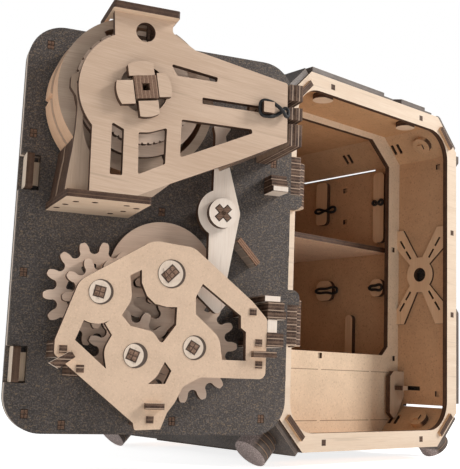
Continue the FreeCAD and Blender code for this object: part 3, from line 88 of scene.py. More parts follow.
def door_way(degrees):
    """A direction in the plane of the door, turned from across it towards upright."""
    angle = math.radians(degrees)
    return DOOR_ALONG * math.cos(angle) + DOOR_UP * math.sin(angle)


# Shader helpers


def feed(tree, socket, value):
    """Links another node's output to a socket, or sets the socket's own value."""
    if isinstance(value, bpy.types.NodeSocket):
        tree.links.new(value, socket)
    else:
        socket.default_value = value


def put(tree, kind, inputs=None, **settings):
    """Adds one shader node with its settings and inputs."""
    made = tree.nodes.new("ShaderNode" + kind)
    for name, value in settings.items():
        setattr(made, name, value)
    for name, value in (inputs or {}).items():
        feed(tree, made.inputs[name], value)
    return made


def maths(tree, operation, a, b=0.0, clamp=False):
    """The result of one operation on one or two numbers."""
    return put(tree, "Math", {0: a, 1: b}, operation=operation, use_clamp=clamp).outputs[0]


def merged(tree, operation, values):
    """One number from several, each joined to the last by the same operation."""
    total = values[0]
    for value in values[1:]:
        total = maths(tree, operation, total, value)
    return total


def ramp(tree, value, low, high, to_low=0.0, to_high=1.0):
    """A smooth step of a value between two limits."""
    limits = {"Value": value, "From Min": low, "From Max": high, "To Min": to_low, "To Max": to_high}
    return put(tree, "MapRange", limits, interpolation_type="SMOOTHSTEP").outputs["Result"]


def from_half(tree, value):
    """How far a value between 0 and 1 is from a half."""
    return maths(tree, "ABSOLUTE", maths(tree, "SUBTRACT", value, 0.5))


def dot(tree, a, b):
    """How far one vector reaches along another."""
    return put(tree, "VectorMath", {0: a, 1: b}, operation="DOT_PRODUCT").outputs["Value"]


def scaled(tree, vector, scale):
    """A vector times a number."""
    return put(tree, "VectorMath", {0: vector, "Scale": scale}, operation="SCALE").outputs[0]


def stretched(tree, vector, scale):
    """A vector with each of its axes times a number of its own."""
    return put(tree, "Mapping", {"Vector": vector, "Scale": scale}).outputs[0]


def noise(tree, vector, scale, detail, **more):
    """Noise from 0 to 1. Its other inputs are named in the call."""
    inputs = {"Vector": vector, "Scale": scale, "Detail": detail, **more}
    return put(tree, "TexNoise", inputs).outputs["Fac"]


def object_place(tree):
    """The shaded point in the object's own coordinates."""
    return put(tree, "TexCoord").outputs["Object"]


def blend_colour(tree, amount, a, b):
    """One colour that goes over into another."""
    made = put(tree, "Mix", data_type="RGBA", blend_type="MIX")
    for socket, value in ((made.inputs[0], amount), (made.inputs[6], a), (made.inputs[7], b)):
        feed(tree, socket, value)
    return made.outputs[2]


def opaque(colour, factor=1.0):
    """A colour of three numbers, lighter or darker by a factor, as four numbers."""
    return (*[min(1.0, part * factor) for part in colour], 1)


def new_group(name, inputs, outputs):
    """A shader node group with named inputs (name, kind, default) and outputs (name, kind)."""
    tree = bpy.data.node_groups.new(name, "ShaderNodeTree")
    for label, kind, default in inputs:
        socket = tree.interface.new_socket(label, in_out="INPUT", socket_type="NodeSocket" + kind)
        if default is not None:
            socket.default_value = default
    for label, kind in outputs:
        tree.interface.new_socket(label, in_out="OUTPUT", socket_type="NodeSocket" + kind)
    taken = tree.nodes.new("NodeGroupInput").outputs
    given = tree.nodes.new("NodeGroupOutput").inputs
    return tree, taken, given


def use_group(tree, group, inputs):
    """Adds a node group with its inputs and gives its outputs."""
    made = tree.nodes.new("ShaderNodeGroup")
    made.node_tree = group
    for name, value in inputs.items():
        feed(tree, made.inputs[name], value)
    return made.outputs


# Shared effects. Each pair of limits below is where a smooth step starts and ends.

CUT_LIMITS = (0.55, 0.8)
MID_TONES = (0.3, 0.7)


def cut_and_depth(tree, given, facing, level, start):
    """Fills the outputs of a group that tells cut edges from faces and finds the depth in a sheet."""
    sheets = maths(tree, "DIVIDE", maths(tree, "SUBTRACT", level, start), SHEET)
    tree.links.new(ramp(tree, facing, *CUT_LIMITS, 1.0, 0.0), given["Cut"])
    tree.links.new(maths(tree, "FRACT", sheets), given["Depth"])


def sheet_edge_group():
    """Tells cut edges from sheet faces, and gives how far through the sheet a point lies."""
    tree, taken, given = new_group("Sheet edge", [("Direction", "Vector", None), ("Start", "Float", 0.0)],
                                   [("Cut", "Float"), ("Depth", "Float")])
    where = put(tree, "TexCoord").outputs
    facing = maths(tree, "ABSOLUTE", dot(tree, where["Normal"], taken["Direction"]))
    level = dot(tree, where["Object"], taken["Direction"])
    cut_and_depth(tree, given, facing, level, taken["Start"])
    return tree


def corner_edge_group():
    """Cut edges and sheet depth for the strips of all four corners, which mirror one another."""
    tree, taken, given = new_group("Corner edge", [("Start", "Float", 0.0)],
                                   [("Cut", "Float"), ("Depth", "Float")])
    where = put(tree, "TexCoord").outputs
    turned = [maths(tree, "ABSOLUTE", dot(tree, where["Normal"], way)) for way in (RISING, FALLING)]
    parts = put(tree, "SeparateXYZ", {0: where["Object"]}).outputs
    above = maths(tree, "ABSOLUTE", maths(tree, "SUBTRACT", parts["Z"], MID_HEIGHT))
    reach = maths(tree, "ADD", maths(tree, "ABSOLUTE", parts["X"]), above)
    outwards = maths(tree, "MULTIPLY", reach, RISING.x)
    cut_and_depth(tree, given, merged(tree, "MAXIMUM", turned), outwards, taken["Start"])
    return tree


LINE_LIMITS = (0.3 * MM, 0.12 * MM)


def engraved_group():
    """A thin burnt line that runs level across the front, from one distance to another."""
    tree, taken, given = new_group(
        "Engraved line",
        [("Vector", "Vector", None), ("From", "Float", 0.0), ("To", "Float", 0.0), ("Height", "Float", 0.0)],
        [("Line", "Float")])
    parts = put(tree, "SeparateXYZ", {0: taken["Vector"]}).outputs
    off = maths(tree, "ABSOLUTE", maths(tree, "SUBTRACT", parts["Z"], taken["Height"]))
    thin = ramp(tree, off, *LINE_LIMITS)
    after = maths(tree, "GREATER_THAN", parts["X"], taken["From"])
    before = maths(tree, "LESS_THAN", parts["X"], taken["To"])
    tree.links.new(maths(tree, "MULTIPLY", thin, maths(tree, "MULTIPLY", after, before)), given["Line"])
    return tree


BAR_LIMITS = (0.1 * MM, -0.1 * MM)
GAP_LIMITS = (0.34, 0.46)
OUTLINE_LIMITS = (0.35 * MM, 0.15 * MM)
RIM_LIMITS = (0.42 * MM, 0.28 * MM)
BAR_FIBRE = 1500.0


def bar_end_group():
    """A bundle of small square strips in a round bush: where it is, its gaps, and the bush's rim."""
    tree, taken, given = new_group(
        "Bar end",
        [("Centre", "Vector", None), ("Across", "Vector", None), ("Up", "Vector", None),
         ("Half width", "Float", 0.003), ("Half height", "Float", 0.003), ("Cell", "Float", 0.002),
         ("Rim", "Float", 0.005)],
        [("Bar", "Float"), ("Gap", "Float"), ("Edge", "Float"), ("Tone", "Float")])
    where = object_place(tree)
    place = put(tree, "VectorMath", {0: where, 1: taken["Centre"]}, operation="SUBTRACT").outputs[0]
    past, gaps, squares = [], [], []
    for way, half in (("Across", "Half width"), ("Up", "Half height")):
        along = dot(tree, place, taken[way])
        past.append(maths(tree, "SUBTRACT", maths(tree, "ABSOLUTE", along), taken[half]))
        cells = maths(tree, "DIVIDE", maths(tree, "ADD", along, taken[half]), taken["Cell"])
        gaps.append(ramp(tree, from_half(tree, maths(tree, "FRACT", cells)), *GAP_LIMITS))
        squares.append(maths(tree, "MULTIPLY", along, along))
    outside = merged(tree, "MAXIMUM", past)
    from_centre = maths(tree, "SQRT", merged(tree, "ADD", squares))
    outline = ramp(tree, maths(tree, "ABSOLUTE", outside), *OUTLINE_LIMITS)
    rim = ramp(tree, maths(tree, "SUBTRACT", taken["Rim"], from_centre), *RIM_LIMITS)
    tree.links.new(ramp(tree, outside, *BAR_LIMITS), given["Bar"])
    tree.links.new(merged(tree, "MAXIMUM", gaps), given["Gap"])
    tree.links.new(maths(tree, "MAXIMUM", outline, rim), given["Edge"])
    tree.links.new(ramp(tree, noise(tree, where, BAR_FIBRE, 2.0), *MID_TONES), given["Tone"])
    return tree


CORE_LIMITS = (0.34, 0.16)
CORE_SHARE = 0.2
JOINT_SHARE = 0.75
BURN_RANGE = (0.85, 1.1)
FINE_LIMITS = (0.2, 0.8)
BURN_PATCHES = 260.0
BURN_FINE = 1900.0


def plies_group():
    """Colour of a laser-cut edge: scorched veneers with a pale line where two sheets meet."""
    tree, taken, given = new_group(
        "Plies",
        [("Depth", "Float", 0.0), ("Pale", "Color", (0.7, 0.5, 0.35, 1)),
         ("Scorched", "Color", (0.1, 0.05, 0.03, 1)), ("Joint", "Color", (0.5, 0.33, 0.2, 1)),
         ("Line width", "Float", 0.16), ("Burn", "Float", 0.5)],
        [("Color", "Color"), ("Height", "Float")])
    where = object_place(tree)
    from_middle = maths(tree, "MULTIPLY", from_half(tree, taken["Depth"]), 2.0)
    veneer = ramp(tree, from_middle, maths(tree, "SUBTRACT", 1.0, taken["Line width"]), 1.0)
    patches = noise(tree, where, BURN_PATCHES, 3.0, Roughness=0.6)
    fine = noise(tree, where, BURN_FINE, 2.0)
    burnt = maths(tree, "MULTIPLY", ramp(tree, patches, *MID_TONES, *BURN_RANGE), taken["Burn"])
    burnt = maths(tree, "MULTIPLY", burnt, ramp(tree, fine, *FINE_LIMITS, *BURN_RANGE))
    light = maths(tree, "MULTIPLY", ramp(tree, from_middle, *CORE_LIMITS), CORE_SHARE)
    amount = maths(tree, "MULTIPLY", burnt, maths(tree, "SUBTRACT", 1.0, light), clamp=True)
    veneers = blend_colour(tree, amount, taken["Pale"], taken["Scorched"])
    with_joint = blend_colour(tree, maths(tree, "MULTIPLY", veneer, JOINT_SHARE), veneers, taken["Joint"])
    tree.links.new(with_joint, given["Color"])
    tree.links.new(maths(tree, "ADD", light, fine), given["Height"])
    return tree


FINE_GRAIN = (90.0, 2400.0, 2400.0)
BROAD_GRAIN = (14.0, 150.0, 150.0)
STREAK_GRAIN = (26.0, 620.0, 620.0)
GRAIN_LIMITS = (0.32, 0.68)
STREAK_LIMITS = (0.66, 0.78)


def grain_group():
    """Fine birch grain along the first axis of its vector, with a few long darker streaks."""
    tree, taken, given = new_group("Birch grain", [("Vector", "Vector", None)],
                                   [("Tone", "Float"), ("Streak", "Float"), ("Height", "Float")])
    fine, wide, thin = (stretched(tree, taken["Vector"], scale)
                        for scale in (FINE_GRAIN, BROAD_GRAIN, STREAK_GRAIN))
    fine = noise(tree, fine, 1.0, 3.0, Roughness=0.6)
    wide = noise(tree, wide, 1.0, 3.0, Distortion=0.6)
    thin = noise(tree, thin, 1.0, 1.0, Distortion=0.3)
    tone = maths(tree, "ADD", maths(tree, "MULTIPLY", fine, 0.5), maths(tree, "MULTIPLY", wide, 0.5))
    tree.links.new(ramp(tree, tone, *GRAIN_LIMITS), given["Tone"])
    tree.links.new(ramp(tree, thin, *STREAK_LIMITS), given["Streak"])
    tree.links.new(fine, given["Height"])
    return tree


CHIP_SCALE = 900.0
BIT_SCALE = 640.0
CLOUD_SCALE = 60.0
BIT_LIMITS = (0.7, 0.25)
DARK_CHIP_LIMITS = (0.47, 0.36)
LIGHT_CHIP_LIMITS = (0.55, 0.7)


def speckle_group():
    """Pressed board: small dark and light chips in no direction."""
    tree, taken, given = new_group(
        "Board speckle", [("Vector", "Vector", None), ("Size", "Float", 1.0)],
        [("Dark", "Float"), ("Light", "Float"), ("Cloud", "Float"), ("Height", "Float")])
    sized = scaled(tree, taken["Vector"], taken["Size"])
    chips = noise(tree, sized, CHIP_SCALE, 2.0, Roughness=0.7)
    cells = put(tree, "TexVoronoi", {"Vector": sized, "Scale": BIT_SCALE, "Randomness": 1.0})
    cloud = noise(tree, sized, CLOUD_SCALE, 4.0, Roughness=0.65)
    near_middle = ramp(tree, cells.outputs["Distance"], *BIT_LIMITS)
    dark = maths(tree, "MULTIPLY", ramp(tree, chips, *DARK_CHIP_LIMITS), near_middle)
    tree.links.new(dark, given["Dark"])
    tree.links.new(ramp(tree, chips, *LIGHT_CHIP_LIMITS), given["Light"])
    tree.links.new(ramp(tree, cloud, *MID_TONES), given["Cloud"])
    tree.links.new(chips, given["Height"])
    return tree


FIBRE_TURNS = (0.35, 1.25, 2.05, 2.8)
FIBRE_TILT = (1.0, 1.3, 0.7)
FIBRE_SHIFT = (3.1, 1.7, 2.3)
FIBRE_STRETCH = (260.0, 3400.0, 1900.0)
FIBRE_LIMITS = (0.69, 0.80)
BEND_SCALE = 500.0
BEND_REACH = 0.0016
DUST_SCALE = 40.0
GRIT_SCALE = 1700.0


def fibre_group():
    """Short thin fibres lying in every direction, as in dyed fibreboard."""
    tree, taken, given = new_group("Loose fibres", [("Vector", "Vector", None)],
                                   [("Fibre", "Float"), ("Cloud", "Float"), ("Height", "Float")])
    where = taken["Vector"]
    bend = put(tree, "TexNoise", {"Vector": where, "Scale": BEND_SCALE, "Detail": 1.0}).outputs["Color"]
    shift = scaled(tree, bend, BEND_REACH)
    bent = put(tree, "VectorMath", {0: where, 1: shift}, operation="ADD").outputs[0]
    strands = []
    for i, turn in enumerate(FIBRE_TURNS):
        laid = put(tree, "Mapping", {
            "Vector": bent, "Location": [i * step for step in FIBRE_SHIFT],
            "Rotation": [turn * tilt for tilt in FIBRE_TILT], "Scale": FIBRE_STRETCH})
        strands.append(ramp(tree, noise(tree, laid.outputs[0], 1.0, 0.0), *FIBRE_LIMITS))
    cloud = noise(tree, where, DUST_SCALE, 4.0, Roughness=0.6)
    tree.links.new(merged(tree, "MAXIMUM", strands), given["Fibre"])
    tree.links.new(ramp(tree, cloud, *MID_TONES), given["Cloud"])
    tree.links.new(noise(tree, where, GRIT_SCALE, 2.0), given["Height"])
    return tree


STRIP_LIMITS = (0.36, 0.47)
STRIP_FIBRE = 1400.0


def end_grain_group():
    """Laid-up strips seen end on: brown strips with thin pale joints along one axis of its vector."""
    tree, taken, given = new_group("Strip ends", [("Vector", "Vector", None), ("Strip", "Float", 1.5)],
                                   [("Joint", "Float"), ("Tone", "Float")])
    parts = put(tree, "SeparateXYZ", {0: taken["Vector"]}).outputs
    cells = maths(tree, "DIVIDE", parts["X"], maths(tree, "MULTIPLY", taken["Strip"], MM))
    away = from_half(tree, maths(tree, "FRACT", cells))
    tree.links.new(ramp(tree, away, *STRIP_LIMITS), given["Joint"])
    tree.links.new(ramp(tree, noise(tree, taken["Vector"], STRIP_FIBRE, 2.0), *MID_TONES), given["Tone"])
    return tree


SHEET_EDGE = sheet_edge_group()
CORNER_EDGE = corner_edge_group()
ENGRAVED = engraved_group()
BAR_END = bar_end_group()
PLIES = plies_group()
GRAIN = grain_group()
SPECKLE = speckle_group()
FIBRES = fibre_group()
STRIP_ENDS = end_grain_group()


# Materials

PALE = (0.20, 0.115, 0.07, 1)
SCORCHED = (0.042, 0.019, 0.011, 1)
PALE_JOINT = (0.66, 0.48, 0.35, 1)
ENGRAVED_BROWN = (0.16, 0.085, 0.045, 1)
DYED_PALE = (0.20, 0.15, 0.12, 1)
BROWN = (0.15, 0.085, 0.055)
STRIP_CELL = 2.1 * MM
BUMP_DISTANCE = 0.2 * MM
STREAK_SHARE = 0.3
LINE_SHARE = 0.75
FIBRE_SHARE = 0.55
DUST_LIMITS = (0.42, 0.72)
STRIP_JOINT_SHARE = 0.7
BAR_GAP_SHARE = 0.85
BAR_EDGE_SHARE = 0.92
DOOR_LEVEL = DOOR_OUT.dot(on_door(0, 0, 0))


def start_material(name, roughness, level=0.35):
    """A new material with its shader in place."""
    made = bpy.data.materials.new(name)
    made.use_nodes = True
    tree = made.node_tree
    tree.nodes.clear()
    shader = put(tree, "BsdfPrincipled", {"Roughness": roughness, "Specular IOR Level": level})
    out = put(tree, "OutputMaterial")
    tree.links.new(shader.outputs[0], out.inputs["Surface"])
    return made, tree, shader


def finish_material(tree, shader, colour, height, strength, rough=None):
    """Gives the shader its colour, fine relief and roughness."""
    bump = put(tree, "Bump", {"Height": height, "Strength": strength, "Distance": BUMP_DISTANCE})
    tree.links.new(colour, shader.inputs["Base Color"])
    tree.links.new(bump.outputs[0], shader.inputs["Normal"])
    if rough is not None:
        tree.links.new(rough, shader.inputs["Roughness"])


def edge_parts(tree, direction, start, burn=0.9, pale=PALE, scorched=SCORCHED, width=0.16, joint=None):
    """Cut edge and plies. A direction of None stands for the four mirrored corners."""
    if direction is None:
        edge = use_group(tree, CORNER_EDGE, {"Start": start})
    else:
        edge = use_group(tree, SHEET_EDGE, {"Direction": direction, "Start": start})
    plies = use_group(tree, PLIES, {"Depth": edge["Depth"], "Pale": pale, "Scorched": scorched, "Burn": burn,
                                    "Line width": width, "Joint": joint or pale})
    return edge, plies


def grain_vector(tree, along):
    """Object coordinates turned so that the grain's first axis lies along a direction."""
    away = along.cross(BODY_Z) if abs(along.z) < 0.9 else along.cross(BODY_X)
    away.normalize()
    turn = Matrix((along, away, along.cross(away))).to_euler("XYZ")
    inputs = {"Vector": object_place(tree), "Rotation": turn}
    return put(tree, "Mapping", inputs, vector_type="POINT").outputs[0]


def birch(name, direction, start, along, light=(0.80, 0.655, 0.50), dark=(0.66, 0.50, 0.36), **edge_look):
    """Birch plywood: grain on the faces, scorched plies on the edges."""
    made, tree, shader = start_material(name, roughness=0.62)
    edge, plies = edge_parts(tree, direction, start, **edge_look)
    grain = use_group(tree, GRAIN, {"Vector": grain_vector(tree, along)})
    face = blend_colour(tree, grain["Tone"], opaque(dark), opaque(light))
    face = blend_colour(tree, maths(tree, "MULTIPLY", grain["Streak"], STREAK_SHARE), face, opaque(dark, 0.6))
    colour = blend_colour(tree, edge["Cut"], face, plies["Color"])
    rough = ramp(tree, grain["Tone"], 0.0, 1.0, to_low=0.7, to_high=0.52)
    finish_material(tree, shader, colour, grain["Height"], strength=0.25, rough=rough)
    return made


def pressed(name, direction, start, light, dark=(0.30, 0.19, 0.12), size=1.0, chip=0.5, lines=()):
    """Tan pressed board with dark chips, and burnt lines given as (from, to, height)."""
    made, tree, shader = start_material(name, roughness=0.7)
    edge, plies = edge_parts(tree, direction, start)
    where = object_place(tree)
    chips = use_group(tree, SPECKLE, {"Vector": where, "Size": size})
    face = blend_colour(tree, chips["Cloud"], opaque(light, 0.9), opaque(light))
    face = blend_colour(tree, maths(tree, "MULTIPLY", chips["Dark"], chip), face, opaque(dark))
    face = blend_colour(tree, maths(tree, "MULTIPLY", chips["Light"], 0.5), face, opaque(light, 1.15))
    for begin, end, height in lines:
        line = use_group(tree, ENGRAVED, {"Vector": where, "From": begin * MM, "To": end * MM,
                                          "Height": height * MM + BODY_BASE})["Line"]
        face = blend_colour(tree, maths(tree, "MULTIPLY", line, LINE_SHARE), face, ENGRAVED_BROWN)
    colour = blend_colour(tree, edge["Cut"], face, plies["Color"])
    rough = ramp(tree, chips["Cloud"], 0.0, 1.0, to_low=0.75, to_high=0.6)
    finish_material(tree, shader, colour, chips["Height"], strength=0.2, rough=rough)
    return made


def dyed(name, direction, start, base=(0.042, 0.035, 0.032), fibre=(0.30, 0.21, 0.13),
         edge_tone=(0.07, 0.05, 0.04), joint=(0.30, 0.22, 0.16)):
    """Dark fibreboard with thin lighter fibres showing."""
    made, tree, shader = start_material(name, roughness=0.5, level=0.5)
    edge, plies = edge_parts(tree, direction, start, pale=DYED_PALE, scorched=opaque(edge_tone),
                             joint=opaque(joint))
    fibres = use_group(tree, FIBRES, {"Vector": object_place(tree)})
    face = blend_colour(tree, fibres["Cloud"], opaque(base), opaque(base, 1.5))
    face = blend_colour(tree, ramp(tree, fibres["Height"], *DUST_LIMITS), face, opaque(base, 3.4))
    face = blend_colour(tree, maths(tree, "MULTIPLY", fibres["Fibre"], FIBRE_SHARE), face, opaque(fibre))
    colour = blend_colour(tree, edge["Cut"], face, plies["Color"])
    rough = ramp(tree, fibres["Cloud"], 0.0, 1.0, to_low=0.56, to_high=0.44)
    finish_material(tree, shader, colour, fibres["Height"], strength=0.3, rough=rough)
    return made


def strips(name, along, face_way, brown=BROWN, pale=(0.42, 0.28, 0.19), strip=1.6):
    """A laid-up bar or peg: brown strip ends with pale joints, and paler flanks."""
    made, tree, shader = start_material(name, roughness=0.6)
    ends = use_group(tree, STRIP_ENDS, {"Vector": grain_vector(tree, along), "Strip": strip})
    facing = use_group(tree, SHEET_EDGE, {"Direction": face_way, "Start": 0.0})
    wood = blend_colour(tree, ends["Tone"], opaque(brown), opaque(brown, 1.5))
    wood = blend_colour(tree, maths(tree, "MULTIPLY", ends["Joint"], STRIP_JOINT_SHARE), wood, opaque(pale))
    flank = tuple(0.5 * (a + b) for a, b in zip(brown, pale))
    side = blend_colour(tree, ends["Tone"], opaque(brown), opaque(flank))
    colour = blend_colour(tree, facing["Cut"], wood, side)
    finish_material(tree, shader, colour, ends["Tone"], strength=0.2)
    return made


def bush(name, node, width, height, turn, radius):
    """A pale round bush with the end of a bundle of square strips in it."""
    made, tree, shader = start_material(name, roughness=0.6)
    low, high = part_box(node)
    end = use_group(tree, BAR_END, {
        "Centre": (Vector(low) + Vector(high)) / 2, "Across": door_way(turn), "Up": door_way(turn + 90),
        "Half width": width / 2 * MM, "Half height": height / 2 * MM, "Cell": STRIP_CELL, "Rim": radius * MM})
    edge, plies = edge_parts(tree, DOOR_OUT, DOOR_LEVEL, burn=0.95)
    grain = use_group(tree, GRAIN, {"Vector": grain_vector(tree, DOOR_UP)})
    ring = blend_colour(tree, grain["Tone"], (0.68, 0.55, 0.44, 1), (0.82, 0.69, 0.57, 1))
    bar = blend_colour(tree, end["Tone"], opaque(BROWN), (0.30, 0.185, 0.125, 1))
    bar = blend_colour(tree, maths(tree, "MULTIPLY", end["Gap"], BAR_GAP_SHARE), bar, SCORCHED)
    face = blend_colour(tree, end["Bar"], ring, bar)
    face = blend_colour(tree, maths(tree, "MULTIPLY", end["Edge"], BAR_EDGE_SHARE), face, SCORCHED)
    colour = blend_colour(tree, edge["Cut"], face, plies["Color"])
    finish_material(tree, shader, colour, grain["Height"], strength=0.25)
    return made


def rubber(name):
    """Matt black rubber with fine dust in its surface."""
    made, tree, shader = start_material(name, roughness=0.55)
    chips = use_group(tree, SPECKLE, {"Vector": object_place(tree), "Size": 1.6})
    face = blend_colour(tree, chips["Cloud"], (0.010, 0.010, 0.011, 1), (0.028, 0.027, 0.027, 1))
    colour = blend_colour(tree, maths(tree, "MULTIPLY", chips["Light"], 0.3), face, (0.07, 0.065, 0.06, 1))
    finish_material(tree, shader, colour, chips["Height"], strength=0.3)
    return made


# Finishes. A level is where a stack of sheets starts along the direction through its sheets.


def side_level(x):
    """The level of a sheet that stands upright, x millimetres to the right of the body's middle."""
    return BODY_X.dot(on_body(x, 0, 0))


def flat_level(z):
    """The level of a sheet that lies flat, z millimetres over the body's lower edge."""
    return BODY_Z.dot(on_body(0, 0, z))


def across_level(s):
    """The level of a sheet that stands on edge on the door, s millimetres across it."""
    return DOOR_ALONG.dot(on_door(s, 0, 0))


FRONT_LEVEL = BODY_Y.dot(on_body(0, 0, 0))
WALL_LEVEL = side_level(66.9)
FITTING_LEVEL = side_level(63.9)
SIDE_COVER_LEVEL = side_level(BODY_HALF_WIDTH)
CEILING_LEVEL = flat_level(184.2)
SHELF_LEVEL = flat_level(113.8)
TOP_COVER_LEVEL = flat_level(2 * BODY_HALF_HEIGHT)
BRACKET_LEVEL = flat_level(176.9)
LEAF_LEVEL = flat_level(119.2)
POST_LEVEL = flat_level(117.6)
BLOCK_LEVEL = across_level(20.2)
END_PLATE_LEVEL = across_level(127.6)
GEAR_PLATE_LEVEL = DOOR_LEVEL + 17 * MM
CORNER_LEVEL = (BODY_HALF_WIDTH + CHAMFER_TOP - BODY_HALF_HEIGHT) * MM * RISING.x
CASE_SLOPE = (DOOR_ALONG + BODY_Z * 0.12).normalized()
DIAL_SIDE = door_way(-10)
SLANTED_TURN = -47.0
SLANTED_SIDE = door_way(90 - SLANTED_TURN)
# Code-wheel rims: a bright orange, little-burnt cut edge, partly the rims' own tone and partly painted light
# from the strong light on the left; the pale line along each sheet's face is partly a painted edge highlight.
WHEEL_RIM_PAINTED_LIGHT = dict(burn=0.35, pale=(0.90, 0.57, 0.36, 1), scorched=(0.30, 0.17, 0.10, 1), width=0.12,
                 joint=(0.80, 0.62, 0.46, 1))
BLOCK_EDGE = dict(pale=(0.40, 0.25, 0.165, 1), width=0.2, joint=PALE_JOINT)
LEAF_EDGE = dict(burn=0.97, pale=(0.44, 0.28, 0.19, 1), width=0.24, joint=PALE_JOINT)
SMALL_BUSH = dict(width=4.2, height=4.2, radius=4.9)
LINE_RUNS = [(-61.0, -45.5), (-43.6, -3.4), (-0.9, 40.1), (41.9, 57.7)]
PARTITION_LINES = [(start, end, height) for height in (40.3, 12.4) for start, end in LINE_RUNS]

finishes = {
    "frame": birch("birch_front_frame", BODY_Y, FRONT_LEVEL, BODY_X, (0.76, 0.62, 0.485), (0.68, 0.53, 0.40)),
    "partition": pressed("board_partition", BODY_Y, FRONT_LEVEL, (0.78, 0.60, 0.43), (0.48, 0.33, 0.21),
                         lines=PARTITION_LINES),
    # The back board is coloured much darker than the same board in the partition and shelf: painted shade
    # deep inside the rear compartment.
    "back": pressed("board_back_painted_shade", BODY_Y, FRONT_LEVEL, (0.23, 0.145, 0.075), (0.12, 0.07, 0.04)),
    "wall": pressed("board_side_walls", BODY_X, WALL_LEVEL, (0.60, 0.375, 0.22), (0.28, 0.16, 0.09)),
    "ceiling": pressed("board_ceiling_floor", BODY_Z, CEILING_LEVEL, (0.64, 0.37, 0.19),
                       (0.32, 0.17, 0.09)),
    "corner": pressed("board_corners", None, CORNER_LEVEL, (0.60, 0.38, 0.22), (0.3, 0.18, 0.1)),
    "shelf": pressed("board_shelf", BODY_Z, SHELF_LEVEL, (0.86, 0.61, 0.43)),
    "dark_door": dyed("dark_board_door", DOOR_OUT, DOOR_LEVEL),
    "dark_side": dyed("dark_board_sides", BODY_X, SIDE_COVER_LEVEL),
    "dark_flat": dyed("dark_board_top", BODY_Z, TOP_COVER_LEVEL),
    "dark_corner": dyed("dark_board_corners", None, CORNER_LEVEL),
    "feet": dyed("stacked_feet", None, CORNER_LEVEL, (0.19, 0.15, 0.14), (0.36, 0.28, 0.23),
                 (0.05, 0.032, 0.024), (0.50, 0.29, 0.15)),
    # The door core's cut edges are pale and barely burnt: partly the birch's own tone, partly painted light
    # from the strong light on the left.
    "core": birch("birch_door_core_painted_light_edges", DOOR_OUT, DOOR_LEVEL, DOOR_UP, burn=0.1, pale=(0.86, 0.72, 0.60, 1)),
    "case": birch("birch_lock_case", DOOR_OUT, DOOR_LEVEL, CASE_SLOPE, (0.66, 0.49, 0.365),
                  (0.55, 0.39, 0.28)),
    "light_birch": birch("birch_lever_and_keys", DOOR_OUT, DOOR_LEVEL, DOOR_UP, (0.90, 0.79, 0.69),
                         (0.81, 0.685, 0.58)),
    "code_wheel": birch("birch_code_wheels", DOOR_OUT, DOOR_LEVEL, DOOR_ALONG, (0.54, 0.41, 0.31),
                        (0.44, 0.32, 0.24), **WHEEL_RIM_PAINTED_LIGHT),
    # The case walls get a darker birch than the case plate: painted shade where the case plate shades the
    # curved walls and the middle plate.
    "case_wall": birch("birch_case_walls_painted_shade", DOOR_OUT, DOOR_LEVEL, DOOR_UP, (0.47, 0.34, 0.25),
                       (0.39, 0.28, 0.20)),
    "wheel": birch("birch_wheels", DOOR_OUT, DOOR_LEVEL, DOOR_ALONG, (0.78, 0.60, 0.475),
                   (0.66, 0.49, 0.375)),
    "gear_plate": pressed("board_gear_plate", DOOR_OUT, GEAR_PLATE_LEVEL, (0.72, 0.53, 0.385),
                          (0.5, 0.34, 0.22), size=1.5, chip=0.4),
    "flat_birch": birch("birch_brackets", BODY_Z, BRACKET_LEVEL, DOOR_ALONG, (0.84, 0.64, 0.47),
                        (0.74, 0.54, 0.38)),
    "side_birch": birch("birch_wall_fittings", BODY_X, FITTING_LEVEL, BODY_Z, (0.78, 0.55, 0.36),
                        (0.68, 0.46, 0.29)),
    "front_birch": birch("birch_cross_fittings", BODY_Y, FRONT_LEVEL, BODY_Z, (0.62, 0.46, 0.33),
                         (0.54, 0.39, 0.27)),
    "stacked": birch("stacked_leaves", BODY_Z, LEAF_LEVEL, BODY_X, **LEAF_EDGE),
    "posts": birch("stacked_posts", BODY_Z, POST_LEVEL, DOOR_UP, (0.84, 0.71, 0.59),
                   (0.76, 0.62, 0.50), burn=0.97, **BLOCK_EDGE),
    "end_blocks": birch("blocks_on_edge", DOOR_ALONG, BLOCK_LEVEL, DOOR_UP, (0.50, 0.36, 0.27),
                        (0.40, 0.28, 0.20), burn=0.95, **BLOCK_EDGE),
    "end_plates": birch("birch_end_plates", DOOR_ALONG, END_PLATE_LEVEL, DOOR_UP, (0.84, 0.70, 0.56),
                        (0.76, 0.61, 0.47), burn=0.7),
    "shaft_ends": strips("laid_up_shafts", DIAL_SIDE, DOOR_OUT),
    "drive_bush": bush("bush_of_the_handle", "drive_shaft", width=6.3, height=4.2, turn=-45, radius=5.8),
    "side_bush": bush("bush_of_the_side_gear", "side_gear_shaft", turn=12, **SMALL_BUSH),
    "idler_bush": bush("bush_of_the_idler", "idler_shaft", turn=30, **SMALL_BUSH),
    "bolt_bush": bush("bush_of_the_bolt_gear", "bolt_shaft", turn=20, **SMALL_BUSH),
    "peg_ends": strips("laid_up_pegs", DOOR_UP, DOOR_OUT, (0.11, 0.06, 0.038), (0.30, 0.19, 0.125),
                       strip=1.0),
    "slanted_edge": strips("laid_up_slanted_edge", SLANTED_SIDE, DOOR_OUT, (0.17, 0.085, 0.05),
                           (0.62, 0.40, 0.26), strip=0.9),
    "burnt": strips("burnt_lines", DOOR_UP, DOOR_OUT, (0.030, 0.016, 0.010), (0.055, 0.032, 0.02), strip=1.0),
    "rubber": rubber("band_rubber"),
}

